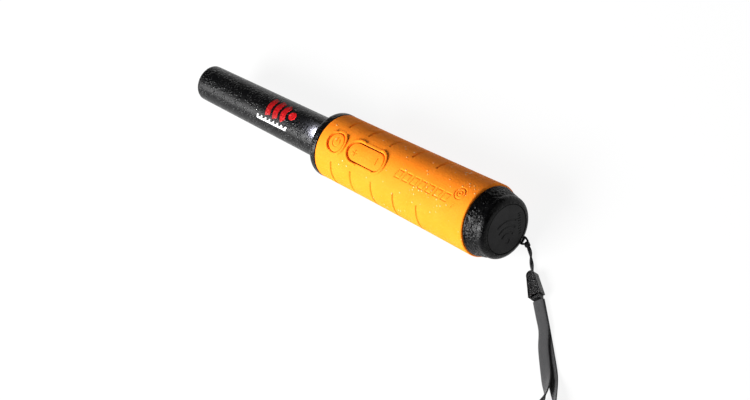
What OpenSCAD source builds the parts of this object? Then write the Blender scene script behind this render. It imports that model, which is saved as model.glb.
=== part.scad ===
// Handheld pinpointer probe with screw-on battery cap and wrist lanyard.
// Millimetres, +Z up, keys facing up. +X runs from the sensing tip to the battery cap.
// Stations called *_x are measured from the tip; place() moves them to the part's own origin.

/* [Probe tube] */
// Length from the sensing tip to the shoulder
probe_len = 108.5; // [80:0.5:140]
// Outer diameter where the probe meets the shoulder
probe_root_d = 24.6; // [23:0.1:28]
// Outer diameter at the sensing tip
probe_tip_d = 21.2; // [20:0.1:24]
// Wall thickness of the tube
probe_wall = 1.8; // [1.4:0.1:2.2]
// Thickness of the closed end at the tip
tip_wall = 2.4; // [1.6:0.1:4]
// Rounding of the tip's edge
tip_corner = 2; // [0.5:0.1:4]
// Fillet between the probe and the shoulder
root_fillet = 2.4; // [0.5:0.1:3]

/* [Shoulder] */
// Length of the shoulder, from its face to the grip
shoulder_len = 6.5; // [5.5:0.1:12]
// Outer diameter of the shoulder
shoulder_d = 38.8; // [37:0.1:48]
// Rounding of the shoulder's front edge
shoulder_corner = 4.2; // [1:0.1:4.6]
// Length of the spigot that enters the handle shell
spigot_len = 6; // [4:0.5:7]

/* [Grip] */
// Length of the yellow sleeve
grip_len = 125.5; // [118:0.5:160]
// Sleeve diameter at the shoulder
grip_front_d = 38.6; // [38:0.1:48]
// Sleeve diameter half way along
grip_mid_d = 40.8; // [40:0.1:50]
// Sleeve diameter at the battery cap
grip_rear_d = 44; // [43.5:0.1:54]
// Thickness of the soft sleeve
grip_wall = 2.4; // [2:0.1:2.8]
// Thickness of the hard shell under it
shell_wall = 1.8; // [1.4:0.1:2]
// Distance from the grip's front edge to the first ring groove
groove_first = 14.1; // [6:0.1:18]
// Spacing between the first two ring grooves
groove_pitch = 16.6; // [10:0.1:20]
// How much each spacing is longer than the one before
groove_growth = 1.15; // [0:0.05:1.5]
// Number of ring grooves
groove_count = 5; // [1:1:5]
// Half angle over the keys that the grooves leave clear, in degrees
groove_gap_angle = 36; // [30:1:60]
// Width of a groove
groove_w = 1.4; // [0.6:0.1:3]
// Depth of a groove
groove_depth = 0.7; // [0.3:0.1:1.2]

/* [Keys] */
// Distance from the grip's front edge to the power key's centre
power_from_front = 13.7; // [12:0.1:15]
// Diameter of the power key
power_d = 11.2; // [9:0.1:12]
// Distance from the grip's front edge to the two-way key's centre
rocker_from_front = 39.1; // [38:0.1:44]
// Length of the two-way key
rocker_len = 28.4; // [26:0.1:30]
// Width of the two-way key
rocker_w = 11.2; // [10:0.1:13]
// Gap round each key
key_gap = 0.45; // [0.3:0.05:0.8]
// Width of the raised lip round a key
lip_w = 1.5; // [0.8:0.1:2]
// Height of that lip above the grip
lip_h = 0.6; // [0.2:0.1:1.2]
// Downward travel of the power key
key_travel = 0.7; // [0.4:0.05:0.8]
// Half swing of the two-way key, in degrees
rocker_swing = 2.5; // [1:0.1:3]
// Diameter of the two-way key's pin
pin_d = 1.5; // [1.2:0.1:1.6]

/* [Battery cap] */
// Length of the cap beyond the grip
cap_len = 14; // [12.5:0.1:20]
// How far the cap's edge lies inside the grip's
cap_inset = 1; // [0.4:0.1:1.6]
// How much the cap's radius shrinks towards the rim
cap_taper = 2.05; // [0.5:0.05:2.2]
// Rounding of the rim
cap_corner = 3.8; // [2:0.1:5]
// Diameter of the face disc
disc_d = 29.6; // [20:0.1:30]
// Outer diameter of the threaded neck, over its crests
neck_d = 34; // [33.6:0.1:34.4]
// Length of the neck inside the cap
neck_len = 9; // [8.6:0.1:9]
// Wall of the neck
neck_wall = 1.5; // [1.2:0.1:1.6]
// Radial gap between neck and cap
neck_gap = 0.3; // [0.2:0.05:0.4]
// Pitch of the thread
thread_pitch = 3; // [2:0.5:3]
// How far the cap backs off before the thread lets go
unscrew_travel = 6; // [3:1:6]

/* [Sensor] */
// Diameter of the ferrite rod
rod_d = 8; // [6:0.1:8.4]
// Wall of the coil former
former_wall = 1.1; // [0.8:0.1:1.4]
// Build height of the transmit winding
transmit_build = 1.6; // [0.6:0.1:2.6]
// Build height of the receive windings
receive_build = 1.1; // [0.6:0.1:2.6]

/* [Electronics] */
// Length of the circuit board
board_len = 63; // [58:0.5:64]
// Width of the circuit board
board_w = 23; // [20:0.5:23.5]
// Thickness of the circuit board
board_t = 1.6; // [1:0.1:2]
// Height of the board's top face above the axis
board_top = 6; // [5:0.1:6.5]
// Height of a tact switch body
switch_h = 3.5; // [2.5:0.1:3.8]
// Diameter of the vibration motor
motor_d = 7; // [5:0.1:7.4]
// Length of the vibration motor's can
motor_len = 13; // [8:0.5:13]

/* [Battery] */
// Length of the battery's case
battery_len = 46.4; // [46:0.1:47]
// Width of the battery
battery_w = 26.5; // [24:0.1:26.5]
// Thickness of the battery
battery_t = 17.5; // [15:0.1:17.5]

/* [Lanyard] */
// Diameter of the two-strand cord
cord_d = 2.4; // [1.6:0.1:3]
// Diameter of one strand
strand_d = 1.2; // [0.8:0.1:1.4]
// Length of the moulded ferrule
ferrule_len = 18; // [14:0.5:18]
// Width of the ferrule at its wide end
ferrule_w = 8.4; // [8:0.1:12]
// Height of the ferrule
ferrule_h = 5.2; // [4.6:0.1:6]
// Width of the strap
strap_w = 7; // [5:0.1:7.4]
// Thickness of one layer of strap
strap_t = 1.1; // [0.8:0.1:1.2]

/* [Hidden] */

$fn = 64;
arc_steps = 6;                    // straight steps in a rounded edge of a profile
grip_steps = 8;                   // straight steps along the grip's flared outline
eps = 0.01;
fit = 0.05;                       // clearance of pieces that slide together and stay

// Stations along the axis, from the tip
shoulder_x = probe_len;
grip_x = shoulder_x + shoulder_len;
cap_x = grip_x + grip_len;
total_len = cap_x + cap_len;
neck_end_x = cap_x + neck_len;

// Height of the axis above the surface that the grip lies on
axis_z = grip_rear_d / 2;

// Outlines of the grip, the shell and its bore, and of the probe
function grip_u(x) = (x - grip_x) / grip_len;
function flare(u) = grip_front_d * (1 - u) * (1 - 2 * u)
    + 4 * grip_mid_d * u * (1 - u) + grip_rear_d * u * (2 * u - 1);
function grip_r(x) = flare(grip_u(x)) / 2;
function shell_r(x) = grip_r(x) - grip_wall;
function bore_r(x) = shell_r(x) - shell_wall;
function probe_r(x) = (probe_tip_d + (probe_root_d - probe_tip_d) * x / probe_len) / 2;
function grip_stations() = [for (i = [0:grip_steps]) grip_x + grip_len * i / grip_steps];

// Points of an arc in a [radius, station] profile
function arc(centre, r, from, to) =
    [for (i = [0:arc_steps]) let (a = from + (to - from) * i / arc_steps)
        [centre[0] + r * cos(a), centre[1] + r * sin(a)]];

shoulder_r = shoulder_d / 2;
spigot_r = min(bore_r(grip_x), bore_r(grip_x + spigot_len)) - fit;
spigot_bore = spigot_r - 1.5;
probe_bore_tip = probe_r(0) - probe_wall;
probe_bore_root = probe_r(probe_len) - probe_wall;

// Torch in the shoulder, above the probe
torch_r = 15;                     // distance from the axis to the lens
lens_d = 3.8;
led_d = 3;
lens_front_x = shoulder_x - 0.6;
lens_len = 3.4;

// Keys
power_x = grip_x + power_from_front;
rocker_x = grip_x + rocker_from_front;
stem_d = 3.4;                     // stems under the keys
stem_hole_d = stem_d + 3.2;
rocker_stem_off = 9;              // stems of the two-way key, each side of its pin
rocker_slot_w = 8.4;
pin_z = bore_r(rocker_x) - 0.2;   // height of the pin's axis
pin_len = rocker_slot_w + 3.6;
power_floor = shell_r(power_x) + key_travel + 0.15;
rocker_floor = shell_r(rocker_x + rocker_len / 2) + sin(rocker_swing) * rocker_len / 2 + 0.2;
switch_top = board_top + switch_h;
plunger_h = 0.9;
plunger_top = switch_top + plunger_h;
press_gap = 0.1;                  // left between a stem and its plunger at full travel
power_stem_z = plunger_top + press_gap + key_travel;
rocker_stem_z = plunger_top + press_gap
    + sin(rocker_swing) * (rocker_stem_off + stem_d / 2);

// Sensor stack
rod_x = tip_wall + 2.6;
foam_gap = 0.2;
former_x = rod_x + 0.8;
former_end_x = shoulder_x - 9;
former_r = rod_d / 2 + fit + former_wall;
flange_r = probe_bore_tip - 0.4;
flange_t = 1.5;
coil_bay = (former_end_x - former_x - 4 * flange_t) / 3;
function flange_x(i) = former_x + i * (coil_bay + flange_t);

// Electronics sled
bulkhead_t = 2;
battery_rear_x = neck_end_x - 3.7;
battery_x = battery_rear_x - battery_len;
stud_h = 2.1;
plate_x = battery_x - stud_h - 1.8 - 0.3;
plate_t = 1.6;
bulkhead_x = plate_x - bulkhead_t - 0.2;
// under the keys, and clear of the bulkhead
board_x = min(power_x - 3.7, bulkhead_x - 5 - board_len);
sled_x = board_x - 1.2;
rail_y = 8.6;
rail_w = 4.4;
rail_h = 3;
rail_top = board_top - board_t;
screw_d = 2;
board_hole_x = [board_x + 3, board_x + board_len - 3];
motor_x = board_x + board_len - 5.5 - motor_len;  // clear of the board's rear screws
motor_y = 5.4;
motor_z = board_top + motor_d / 2 + 0.4;
motor_axis_x = motor_x - 3.2;     // free end of the motor's shaft
weight_r = motor_d / 2 - 0.3;
sounder_x = board_x + board_len - 12;
sounder_d = 14;
boss_in = rail_y + rail_w / 2 + 0.2;  // inner side of the bosses, beside the rails
boss_y = boss_in + screw_d / 2 + 0.6;

// Cap
neck_r = neck_d / 2;
cap_bore = neck_r + neck_gap;
cap_bore_end = neck_end_x + 0.4;
disc_t = 1.2;
disc_gap = 0.15;
cap_front_r = grip_rear_d / 2 - cap_inset;
cap_rim_r = cap_front_r - cap_taper;
seal_d = 1.5;
stud_r = 2.5;                     // stud on which the battery pad turns
lug_hole_x = total_len - 2.6;
lug_hole_r = 1.3;
lug_z = axis_z - 2.5;             // distance of the eye below the axis
lug_w = 3.2;

// Lanyard route on the surface, in the part's own frame: [x, y, z]
cord_route = [
    [129.7, -1.2, 2.4], [131, -2.1, 2.1], [132.6, -3.5, 1.6], [134.4, -5.3, 1.3],
    [136.3, -7.6, 1.2], [138.3, -9.9, 1.2], [140.2, -12, 1.2], [142, -13.8, 1.2]
];
ferrule_at = [142, -13.8, 0];
ferrule_turn = -43;               // direction of the ferrule in plan, in degrees
// Wrist strap, as one loop: plan x and y, then how far the strap has turned onto its edge.
// It leaves the ferrule as the lower layer and comes back as the upper one.
strap_route = [
    [155.3, -26.2, 0], [162, -32.6, 0], [169, -39.4, 0], [176, -46.4, 0], [183, -53.4, 0],
    [190, -60.4, 5], [197, -67.4, 30], [203.5, -74.2, 60], [210, -82, 85], [214.5, -91, 90],
    [217, -101, 90], [217.5, -111, 90], [215, -120, 90], [209, -126.5, 90], [200.5, -128.5, 90],
    [192, -126, 90], [186.5, -119, 90], [184.5, -110, 90], [185, -100, 90], [187.5, -90, 90],
    [191, -82, 90], [193.6, -75.6, 75], [193, -69.4, 45], [187.4, -62.6, 10], [181, -55.4, 0],
    [174.6, -47.8, 0], [169, -39.4, 0], [162, -32.6, 0], [155.3, -26.2, 0]
];

module place() translate([-total_len / 2, 0, axis_z]) children();
module revolve(profile) rotate([0, 90, 0]) rotate_extrude() polygon(profile);
module disc(x, r, h) translate([x, 0, 0]) rotate([0, 90, 0]) cylinder(r = r, h = h);
module tube(x, r_out, r_in, h) difference() {
    disc(x, r_out, h);
    disc(x - eps, r_in, h + 2 * eps);
}
module block(x, y, z, size) translate([x, y - size[1] / 2, z]) cube(size);
module stadium(length, width) {
    if (length > width) square([length - width, width], center = true);
    for (side = [-1, 1]) translate([side * (length - width) / 2, 0]) circle(d = width);
}

// ---------- housing ----------

module probe_tube() color([0.07, 0.07, 0.075]) place() difference() {
    revolve(concat(
        [[0, 0]],
        arc([probe_r(0) - tip_corner, tip_corner], tip_corner, -90, 0),
        [[probe_r(probe_len - root_fillet), probe_len - root_fillet]],
        [for (i = [1:arc_steps]) let (a = 90 * i / arc_steps)
            [probe_r(probe_len) + root_fillet * (1 - cos(a)), probe_len - root_fillet * (1 - sin(a))]],
        arc([shoulder_r - shoulder_corner, shoulder_x + shoulder_corner], shoulder_corner, -90, 0),
        [[shoulder_r, grip_x], [spigot_r, grip_x], [spigot_r, grip_x + spigot_len],
         [spigot_bore, grip_x + spigot_len], [spigot_bore, grip_x - 1],
         [probe_bore_root, grip_x - 4], [probe_bore_root, probe_len],
         [probe_bore_tip, tip_wall], [0, tip_wall]]
    ));
    // pocket for the lens, the light source and its two legs
    translate([shoulder_x - root_fillet - 0.6, 0, torch_r]) rotate([0, 90, 0])
        cylinder(d = lens_d + 0.1, h = shoulder_len + root_fillet + 0.2);
    translate([lens_front_x + 1.6, 0, torch_r]) rotate([0, 90, 0])
        cylinder(d = lens_d + 1.2, h = 0.9);
    block(grip_x - 2.6, 0, probe_bore_root - 1, [1, 2.2, torch_r - probe_bore_root + 1]);
}

module handle_shell() color([0.12, 0.12, 0.13]) place() difference() {
    union() {
        revolve(concat(
            [for (x = grip_stations()) [shell_r(x), x]],
            [[neck_r, cap_x], [neck_r, neck_end_x], [neck_r - neck_wall, neck_end_x],
             [neck_r - neck_wall, cap_x - 2]],
            [for (i = [grip_steps:-1:0]) let (x = grip_stations()[i])
                [bore_r(x), min(x, cap_x - 3.5)]]
        ));
        // bosses for the sled's two screws, blended into the wall
        intersection() {
            for (side = [-1, 1])
                block(bulkhead_x - 6, side * (boss_in + 5), -2.6, [6, 10, 5.2]);
            disc(bulkhead_x - 6, bore_r(bulkhead_x) + shell_wall / 2, 6);
        }
    }
    translate([power_x, 0, 0]) cylinder(d = stem_hole_d, h = axis_z);
    translate([rocker_x, 0, 0]) linear_extrude(axis_z)
        square([2 * rocker_stem_off + stem_hole_d, rocker_slot_w], center = true);
    translate([rocker_x, 0, pin_z]) rotate([90, 0, 0])
        cylinder(d = pin_d, h = pin_len, center = true);
    for (side = [-1, 1]) translate([bulkhead_x - 6 - eps, side * boss_y, 0]) rotate([0, 90, 0])
        cylinder(d = screw_d, h = 7);
}

module key_prism(length, width, grow, height)
    linear_extrude(height) stadium(length + 2 * grow, width + 2 * grow);

module grip_body(extra) revolve(concat(
    [for (x = grip_stations()) [grip_r(x) + extra, x]],
    [for (i = [grip_steps:-1:0]) let (x = grip_stations()[i]) [shell_r(x) + fit, x]]
));

module lips() intersection() {
    grip_body(lip_h);
    union() {
        // the power key's lip is open towards the two long sides
        difference() {
            translate([power_x, 0, 0]) key_prism(power_d, power_d, key_gap + lip_w, 2 * axis_z);
            block(power_x - 2.4, power_d / 2 + 1.2, 0, [4.8, 4, 2 * axis_z]);
        }
        // the two-way key's lip is raised at its two ends
        difference() {
            translate([rocker_x, 0, 0]) key_prism(rocker_len, rocker_w, key_gap + lip_w, 2 * axis_z);
            for (side = [-1, 1])
                block(rocker_x - 4.6, side * (rocker_w / 2 + 2.4), 0, [12, 4, 2 * axis_z]);
        }
    }
}

module grip_sleeve() color([0.98, 0.74, 0.08]) place() difference() {
    union() {
        grip_body(0);
        lips();
    }
    for (i = [0:groove_count - 1])
        let (x = grip_x + groove_first + i * groove_pitch + i * (i - 1) / 2 * groove_growth)
            rotate([0, 90, 0]) rotate([0, 0, groove_gap_angle - 180])
                rotate_extrude(angle = 2 * (180 - groove_gap_angle))
                    translate([grip_r(x) - groove_depth, x - groove_w / 2])
                        square([groove_depth + 2, groove_w]);
    translate([power_x, 0, 0]) key_prism(power_d, power_d, key_gap, 2 * axis_z);
    translate([rocker_x, 0, 0]) key_prism(rocker_len, rocker_w, key_gap, 2 * axis_z);
}

// ---------- keys ----------

module key_cap(length, width, x, floor_z) intersection() {
    translate([x, 0, floor_z]) key_prism(length, width, 0, axis_z);
    revolve(concat([[0, grip_x]], [for (s = grip_stations()) [grip_r(s), s]], [[0, cap_x]]));
}

module power_key() color([0.98, 0.74, 0.08]) place() {
    key_cap(power_d, power_d, power_x, power_floor);
    translate([power_x, 0, power_stem_z]) cylinder(d = stem_d, h = power_floor - power_stem_z + 0.4);
}

module rocker_key() color([0.98, 0.74, 0.08]) place() difference() {
    union() {
        key_cap(rocker_len, rocker_w, rocker_x, rocker_floor);
        for (side = [-1, 1]) translate([rocker_x + side * rocker_stem_off, 0, rocker_stem_z])
            cylinder(d = stem_d, h = rocker_floor - rocker_stem_z + 0.4);
        block(rocker_x - 1.8, 0, pin_z - pin_d / 2 - 0.8,
            [3.6, rocker_slot_w - 1, rocker_floor - pin_z + pin_d / 2 + 1.2]);
    }
    translate([rocker_x, 0, pin_z]) rotate([90, 0, 0])
        cylinder(d = pin_d + 0.1, h = rocker_slot_w + 2, center = true);
}

module rocker_pin() color([0.75, 0.76, 0.78]) place()
    translate([rocker_x, 0, pin_z]) rotate([90, 0, 0]) cylinder(d = pin_d, h = pin_len, center = true);

// soft diaphragm between a stem and the shell's bore
module boot(x, top) translate([x, 0, top]) rotate_extrude()
    polygon([[stem_d / 2 + 0.1, 0], [stem_d / 2 + 0.1, -0.8], [stem_hole_d / 2 - 0.9, -1.6],
        [stem_hole_d / 2 - 0.1, -1.6], [stem_hole_d / 2 - 0.1, -0.9], [stem_hole_d / 2 - 0.9, -0.9]]);

module power_boot() color([0.2, 0.2, 0.2]) place() boot(power_x, bore_r(power_x) + shell_wall);

module rocker_boots() color([0.2, 0.2, 0.2]) place()
    for (side = [-1, 1])
        boot(rocker_x + side * rocker_stem_off, bore_r(rocker_x + side * rocker_stem_off) + 1);

// ---------- torch ----------

module torch_lens() color([0.9, 0.95, 1, 0.5]) place() translate([lens_front_x, 0, torch_r])
    rotate([0, 90, 0]) rotate_extrude()
        polygon([[0, 0], [0.9, 0.12], [1.5, 0.4], [lens_d / 2, 0.9], [lens_d / 2, lens_len], [0, lens_len]]);

module lens_seal() color([0.15, 0.15, 0.15]) place()
    translate([lens_front_x + 1.65, 0, torch_r]) rotate([0, 90, 0]) difference() {
        cylinder(d = lens_d + 1.1, h = 0.8);
        translate([0, 0, -1]) cylinder(d = lens_d, h = 3);
    }

module torch_led() color([0.95, 0.95, 0.85]) place() {
    translate([lens_front_x + lens_len + 0.1, 0, torch_r]) rotate([0, 90, 0]) rotate_extrude()
        polygon([[0, 0], [0.8, 0.2], [1.2, 0.6], [1.4, 1.2], [1.4, 2.2], [led_d / 2 + 0.25, 2.2],
            [led_d / 2 + 0.25, 2.9], [0, 2.9]]);
    for (side = [-1, 1]) translate([grip_x - 2.1, side * 0.6, probe_bore_root - 0.8])
        cylinder(d = 0.5, h = torch_r - probe_bore_root + 0.4);
}

// ---------- sensor ----------

module ferrite_rod() color([0.25, 0.25, 0.27]) place()
    disc(rod_x, rod_d / 2, former_end_x - rod_x + 0.8);

module coil_former() color([0.85, 0.82, 0.7]) place() {
    tube(former_x, former_r, rod_d / 2 + fit, former_end_x - former_x);
    for (i = [0:3]) tube(flange_x(i), flange_r, rod_d / 2 + fit, flange_t);
}

module winding(i, build) tube(flange_x(i) + flange_t, former_r + build, former_r, coil_bay);
module receive_coil_front() color([0.72, 0.38, 0.16]) place() winding(0, receive_build);
module transmit_coil() color([0.72, 0.38, 0.16]) place() winding(1, transmit_build);
module receive_coil_rear() color([0.72, 0.38, 0.16]) place() winding(2, receive_build);

module tip_foam() color([0.3, 0.3, 0.32]) place()
    disc(tip_wall + foam_gap / 2, flange_r, rod_x - tip_wall - foam_gap);

module rear_foam() color([0.3, 0.3, 0.32]) place()
    tube(former_end_x + 0.9, probe_bore_root - 0.3, rod_d / 2 - 0.6, 4);

// sweeps a round section of eight sides along a list of points
function unit(v) = v / norm(v);
function travel(route, i) = unit(route[min(i + 1, len(route) - 1)] - route[max(i - 1, 0)]);
function sweep_faces(n, sides) = concat(
    [[for (j = [sides - 1:-1:0]) j]],
    [for (i = [0:n - 2]) for (j = [0:sides - 1]) let (k = (j + 1) % sides)
        [i * sides + j, i * sides + k, (i + 1) * sides + k, (i + 1) * sides + j]],
    [[for (j = [0:sides - 1]) (n - 1) * sides + j]]
);
// split the four-cornered faces, so that none is warped
function split_faces(faces) = [for (f = faces) each
    len(f) == 4 ? [[f[0], f[1], f[2]], [f[0], f[2], f[3]]] : [f]];
module swept(route, d, sides = 8) {
    rings = [for (i = [0:len(route) - 1])
        let (t = travel(route, i), side = unit(cross([0, 0, 1], t)), up = cross(t, side))
            for (j = [0:sides - 1]) let (a = 360 * j / sides)
                route[i] + d / 2 * (cos(a) * side + sin(a) * up)];
    polyhedron(rings, split_faces(sweep_faces(len(route), sides)), convexity = 4);
}

lead_d = 0.9;
coil_exit_x = former_end_x + 5.2;
module coil_leads() color([0.1, 0.35, 0.15]) place()
    for (k = [-1:1]) swept([
        [coil_exit_x, k * 1.6, 2], [coil_exit_x + 3, k * 1.6, 2.6], [coil_exit_x + 7, k * 1.6, 3.6],
        [grip_x, k * 1.6, 4.2], [(grip_x + board_x) / 2, k * 1.6, board_top - board_t / 2],
        [board_x - 0.1, k * 1.6, board_top - board_t / 2]
    ], lead_d);

// ---------- electronics ----------

module chassis_sled() color([0.16, 0.17, 0.18]) place() difference() {
    union() {
        for (side = [-1, 1])
            block(sled_x, side * rail_y, rail_top - rail_h, [bulkhead_x - sled_x + 1, rail_w, rail_h]);
        for (x = [sled_x, rocker_x - 2]) block(x, 0, rail_top - rail_h, [3, 2 * rail_y, 1.6]);
        disc(bulkhead_x, bore_r(bulkhead_x) - 0.25, bulkhead_t);
    }
    for (x = board_hole_x) for (side = [-1, 1])
        translate([x, side * rail_y, rail_top - rail_h - 1]) cylinder(d = screw_d, h = rail_h + 2);
    for (side = [-1, 1]) translate([bulkhead_x - 1, side * boss_y, 0]) rotate([0, 90, 0])
        cylinder(d = screw_d + 0.4, h = bulkhead_t + 2);
    // way through for the battery leads
    block(bulkhead_x - 1, 0, rail_top - 1, [bulkhead_t + 2, 6, 4]);
}

module chassis_screws() color([0.7, 0.71, 0.73]) place()
    for (side = [-1, 1]) translate([0, side * boss_y, 0]) {
        disc(bulkhead_x - 4.6, screw_d / 2, 4.6 + bulkhead_t);
        disc(bulkhead_x + bulkhead_t, screw_d / 2 + 0.8, 1.2);
    }

module circuit_board() color([0.05, 0.3, 0.14]) place() difference() {
    block(board_x, 0, rail_top, [board_len, board_w, board_t]);
    for (x = board_hole_x) for (side = [-1, 1])
        translate([x, side * rail_y, rail_top - 1]) cylinder(d = screw_d + 0.2, h = board_t + 2);
}

module board_screws() color([0.7, 0.71, 0.73]) place()
    for (x = board_hole_x) for (side = [-1, 1]) translate([x, side * rail_y, 0]) {
        translate([0, 0, rail_top - rail_h + 0.4]) cylinder(d = screw_d, h = rail_h + board_t - 0.4);
        translate([0, 0, board_top]) cylinder(d = screw_d + 1.6, h = 1.1);
    }

switch_x = [power_x, rocker_x - rocker_stem_off, rocker_x + rocker_stem_off];
module tact_switches() color([0.1, 0.1, 0.1]) place()
    for (x = switch_x) block(x - 3, 0, board_top, [6, 6, switch_h]);
module switch_plungers() color([0.85, 0.85, 0.85]) place()
    for (x = switch_x) translate([x, 0, switch_top]) cylinder(d = 3, h = plunger_h);

module controller_chip() color([0.08, 0.08, 0.09]) place()
    block(rocker_x - 3.5, 7.2, board_top, [7, 7, 1]);
module amplifier_chips() color([0.08, 0.08, 0.09]) place()
    for (x = [rocker_x - 14, rocker_x + 3.5]) block(x, -0.4, rail_top - 1.2, [5, 4, 1.2]);

module piezo_sounder() color([0.12, 0.12, 0.13]) place() difference() {
    translate([sounder_x, 0, rail_top - 4.5]) cylinder(d = sounder_d - 1.4, h = 4.5);
    translate([sounder_x, 0, rail_top - 5]) cylinder(d = 2.4, h = 1.5);
}

module vibration_motor() color([0.72, 0.73, 0.75]) place() translate([0, motor_y, motor_z]) {
    disc(motor_x, motor_d / 2, motor_len);
    block(motor_x + 1, 0, board_top - motor_z, [motor_len - 2, motor_d - 2, motor_d / 2]);
}

module eccentric_weight() color([0.6, 0.6, 0.62]) place() translate([0, motor_y, motor_z]) {
    disc(motor_axis_x - 0.2, 0.5, motor_x - motor_axis_x + 0.1);
    difference() {
        disc(motor_axis_x, weight_r, 2.6);
        block(motor_axis_x - 1, 0, 0.7, [5, 2 * weight_r + 1, weight_r]);
    }
}

module battery_leads() color([0.6, 0.08, 0.06]) place()
    for (side = [-1, 1]) swept([
        [board_x + board_len + 0.1, side * 1.4, board_top - board_t / 2],
        [board_x + board_len + 2, side * 1.4, board_top - board_t / 2],
        [bulkhead_x + bulkhead_t / 2, side * 1.4, board_top - board_t / 2],
        [plate_x, side * 1.4, board_top - board_t / 2]
    ], 1.1);

module contact_plate() color([0.1, 0.1, 0.11]) place() block(plate_x, 0, -7, [plate_t, 20, 14]);

// one snap contact each for the battery's two studs
module contact_springs() color([0.85, 0.7, 0.35]) place() for (side = [-1, 1])
    translate([0, side * 6.35, 0])
        tube(plate_x + plate_t, side > 0 ? 3.4 : 3.9, side > 0 ? 2.9 : 3.3, 1.9);

// ---------- battery ----------

module battery_case() color([0.25, 0.27, 0.3]) place() translate([battery_x, 0, 0])
    rotate([90, 0, 90]) linear_extrude(battery_len) union() {
        square([battery_w - 4, battery_t], center = true);
        square([battery_w, battery_t - 4], center = true);
        for (y = [-1, 1]) for (z = [-1, 1])
            translate([y * (battery_w / 2 - 2), z * (battery_t / 2 - 2)]) circle(r = 2);
    }

module battery_studs() color([0.8, 0.8, 0.82]) place() for (side = [-1, 1])
    translate([0, side * 6.35, 0]) disc(battery_x - stud_h, side > 0 ? 2.8 : 3.2, stud_h);

// ---------- cap ----------

module neck_seal() color([0.1, 0.1, 0.1]) place()
    tube(cap_x, neck_r + seal_d, neck_r, seal_d);

module battery_pad() color([0.2, 0.2, 0.22]) place()
    tube(battery_rear_x + 0.2, 11.5, stud_r + 0.15, neck_end_x - battery_rear_x);

module cap_profile() revolve([
    for (p = concat(
        [[cap_front_r - 0.5, cap_x + 0.2], [cap_front_r, cap_x + 0.7]],
        arc([cap_rim_r - cap_corner, total_len - cap_corner], cap_corner, 0, 90),
        [[disc_d / 2 + disc_gap, total_len], [disc_d / 2 + disc_gap, total_len - disc_t],
         [0, total_len - disc_t], [0, cap_bore_end], [cap_bore, cap_bore_end],
         [cap_bore, cap_x + seal_d + 0.1], [neck_r + seal_d + 0.15, cap_x + seal_d + 0.1],
         [neck_r + seal_d + 0.15, cap_x + 0.2]]
    )) p
]);

module battery_cap() color([0.05, 0.05, 0.055]) place() difference() {
    union() {
        cap_profile();
        disc(battery_rear_x + 1, stud_r, cap_bore_end - battery_rear_x - 1 + eps);
        // lanyard eye under the rim
        translate([lug_hole_x, 0, -lug_z]) rotate([90, 0, 0])
            cylinder(r = lug_hole_r + 1.1, h = lug_w, center = true);
        block(lug_hole_x - lug_hole_r - 1.1, 0, -lug_z, [2 * (lug_hole_r + 1.1), lug_w, 3.4]);
    }
    translate([lug_hole_x, 0, -lug_z]) rotate([90, 0, 0]) cylinder(r = lug_hole_r, h = 12, center = true);
}

module cap_disc() color([0.09, 0.09, 0.095]) place() disc(total_len - disc_t, disc_d / 2, disc_t);

// ---------- lanyard ----------

// closed ring of one strand, through the eye and round its web
hitch_long = 4.4;                 // between the strand's centres, along the tool
hitch_wide = lug_w + strand_d + 0.3;
hitch_x = lug_hole_x + hitch_long / 2;
module hitch_outline(grow)
    square([hitch_long + grow, hitch_wide + grow], center = true);
module lanyard_hitch() color([0.06, 0.06, 0.06]) place()
    translate([hitch_x, 0, -lug_z]) difference() {
        translate([0, 0, -strand_d / 2]) linear_extrude(strand_d)
            hitch_outline(strand_d);
        translate([0, 0, -strand_d]) linear_extrude(2 * strand_d)
            hitch_outline(-strand_d);
    }

module lanyard_cord() color([0.06, 0.06, 0.06]) swept(cord_route, cord_d);

module lanyard_ferrule() color([0.05, 0.05, 0.055])
    translate(ferrule_at) rotate([0, 0, ferrule_turn]) difference() {
        linear_extrude(ferrule_h) polygon(concat(
            [for (i = [0:arc_steps]) let (a = 90 + 180 * i / arc_steps)
                [2.4 + 2.4 * cos(a), 2.9 * sin(a)]],
            [[ferrule_len - 2, -ferrule_w / 2], [ferrule_len, -ferrule_w / 2 + 0.5],
             [ferrule_len, ferrule_w / 2 - 0.5], [ferrule_len - 2, ferrule_w / 2]]
        ));
    }

layer_gap = 0.1;                  // between the strap's two layers
// the strap's section: thin, with its edges rounded by eight corners
function strap_section(w, t) = [
    [w / 2, -t / 4], [w / 2, t / 4], [w / 2 - t / 4, t / 2], [-w / 2 + t / 4, t / 2],
    [-w / 2, t / 4], [-w / 2, -t / 4], [-w / 2 + t / 4, -t / 2], [w / 2 - t / 4, -t / 2]
];
module wrist_strap() color([0.1, 0.1, 0.1]) {
    n = len(strap_route);
    flat = [for (p = strap_route) [p[0], p[1], 0]];
    rings = [for (i = [0:n - 1])
        let (p = strap_route[i], t = travel(flat, i), back = i >= n / 2,
             across = unit(cross([0, 0, 1], t)) * (back ? -1 : 1),
             w = cos(p[2]) * across + sin(p[2]) * [0, 0, 1],
             nrm = cross(t, w) * (back ? -1 : 1),
             layer = (back ? 1.5 * strap_t + layer_gap : 0.5 * strap_t) * cos(p[2]),
             z = layer + strap_w / 2 * sin(p[2]))
            for (s = strap_section(strap_w, strap_t))
                [p[0], p[1], z] + s[0] * w + s[1] * nrm * (back ? -1 : 1)];
    polyhedron(rings, split_faces(sweep_faces(n, 8)), convexity = 6);
}

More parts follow.
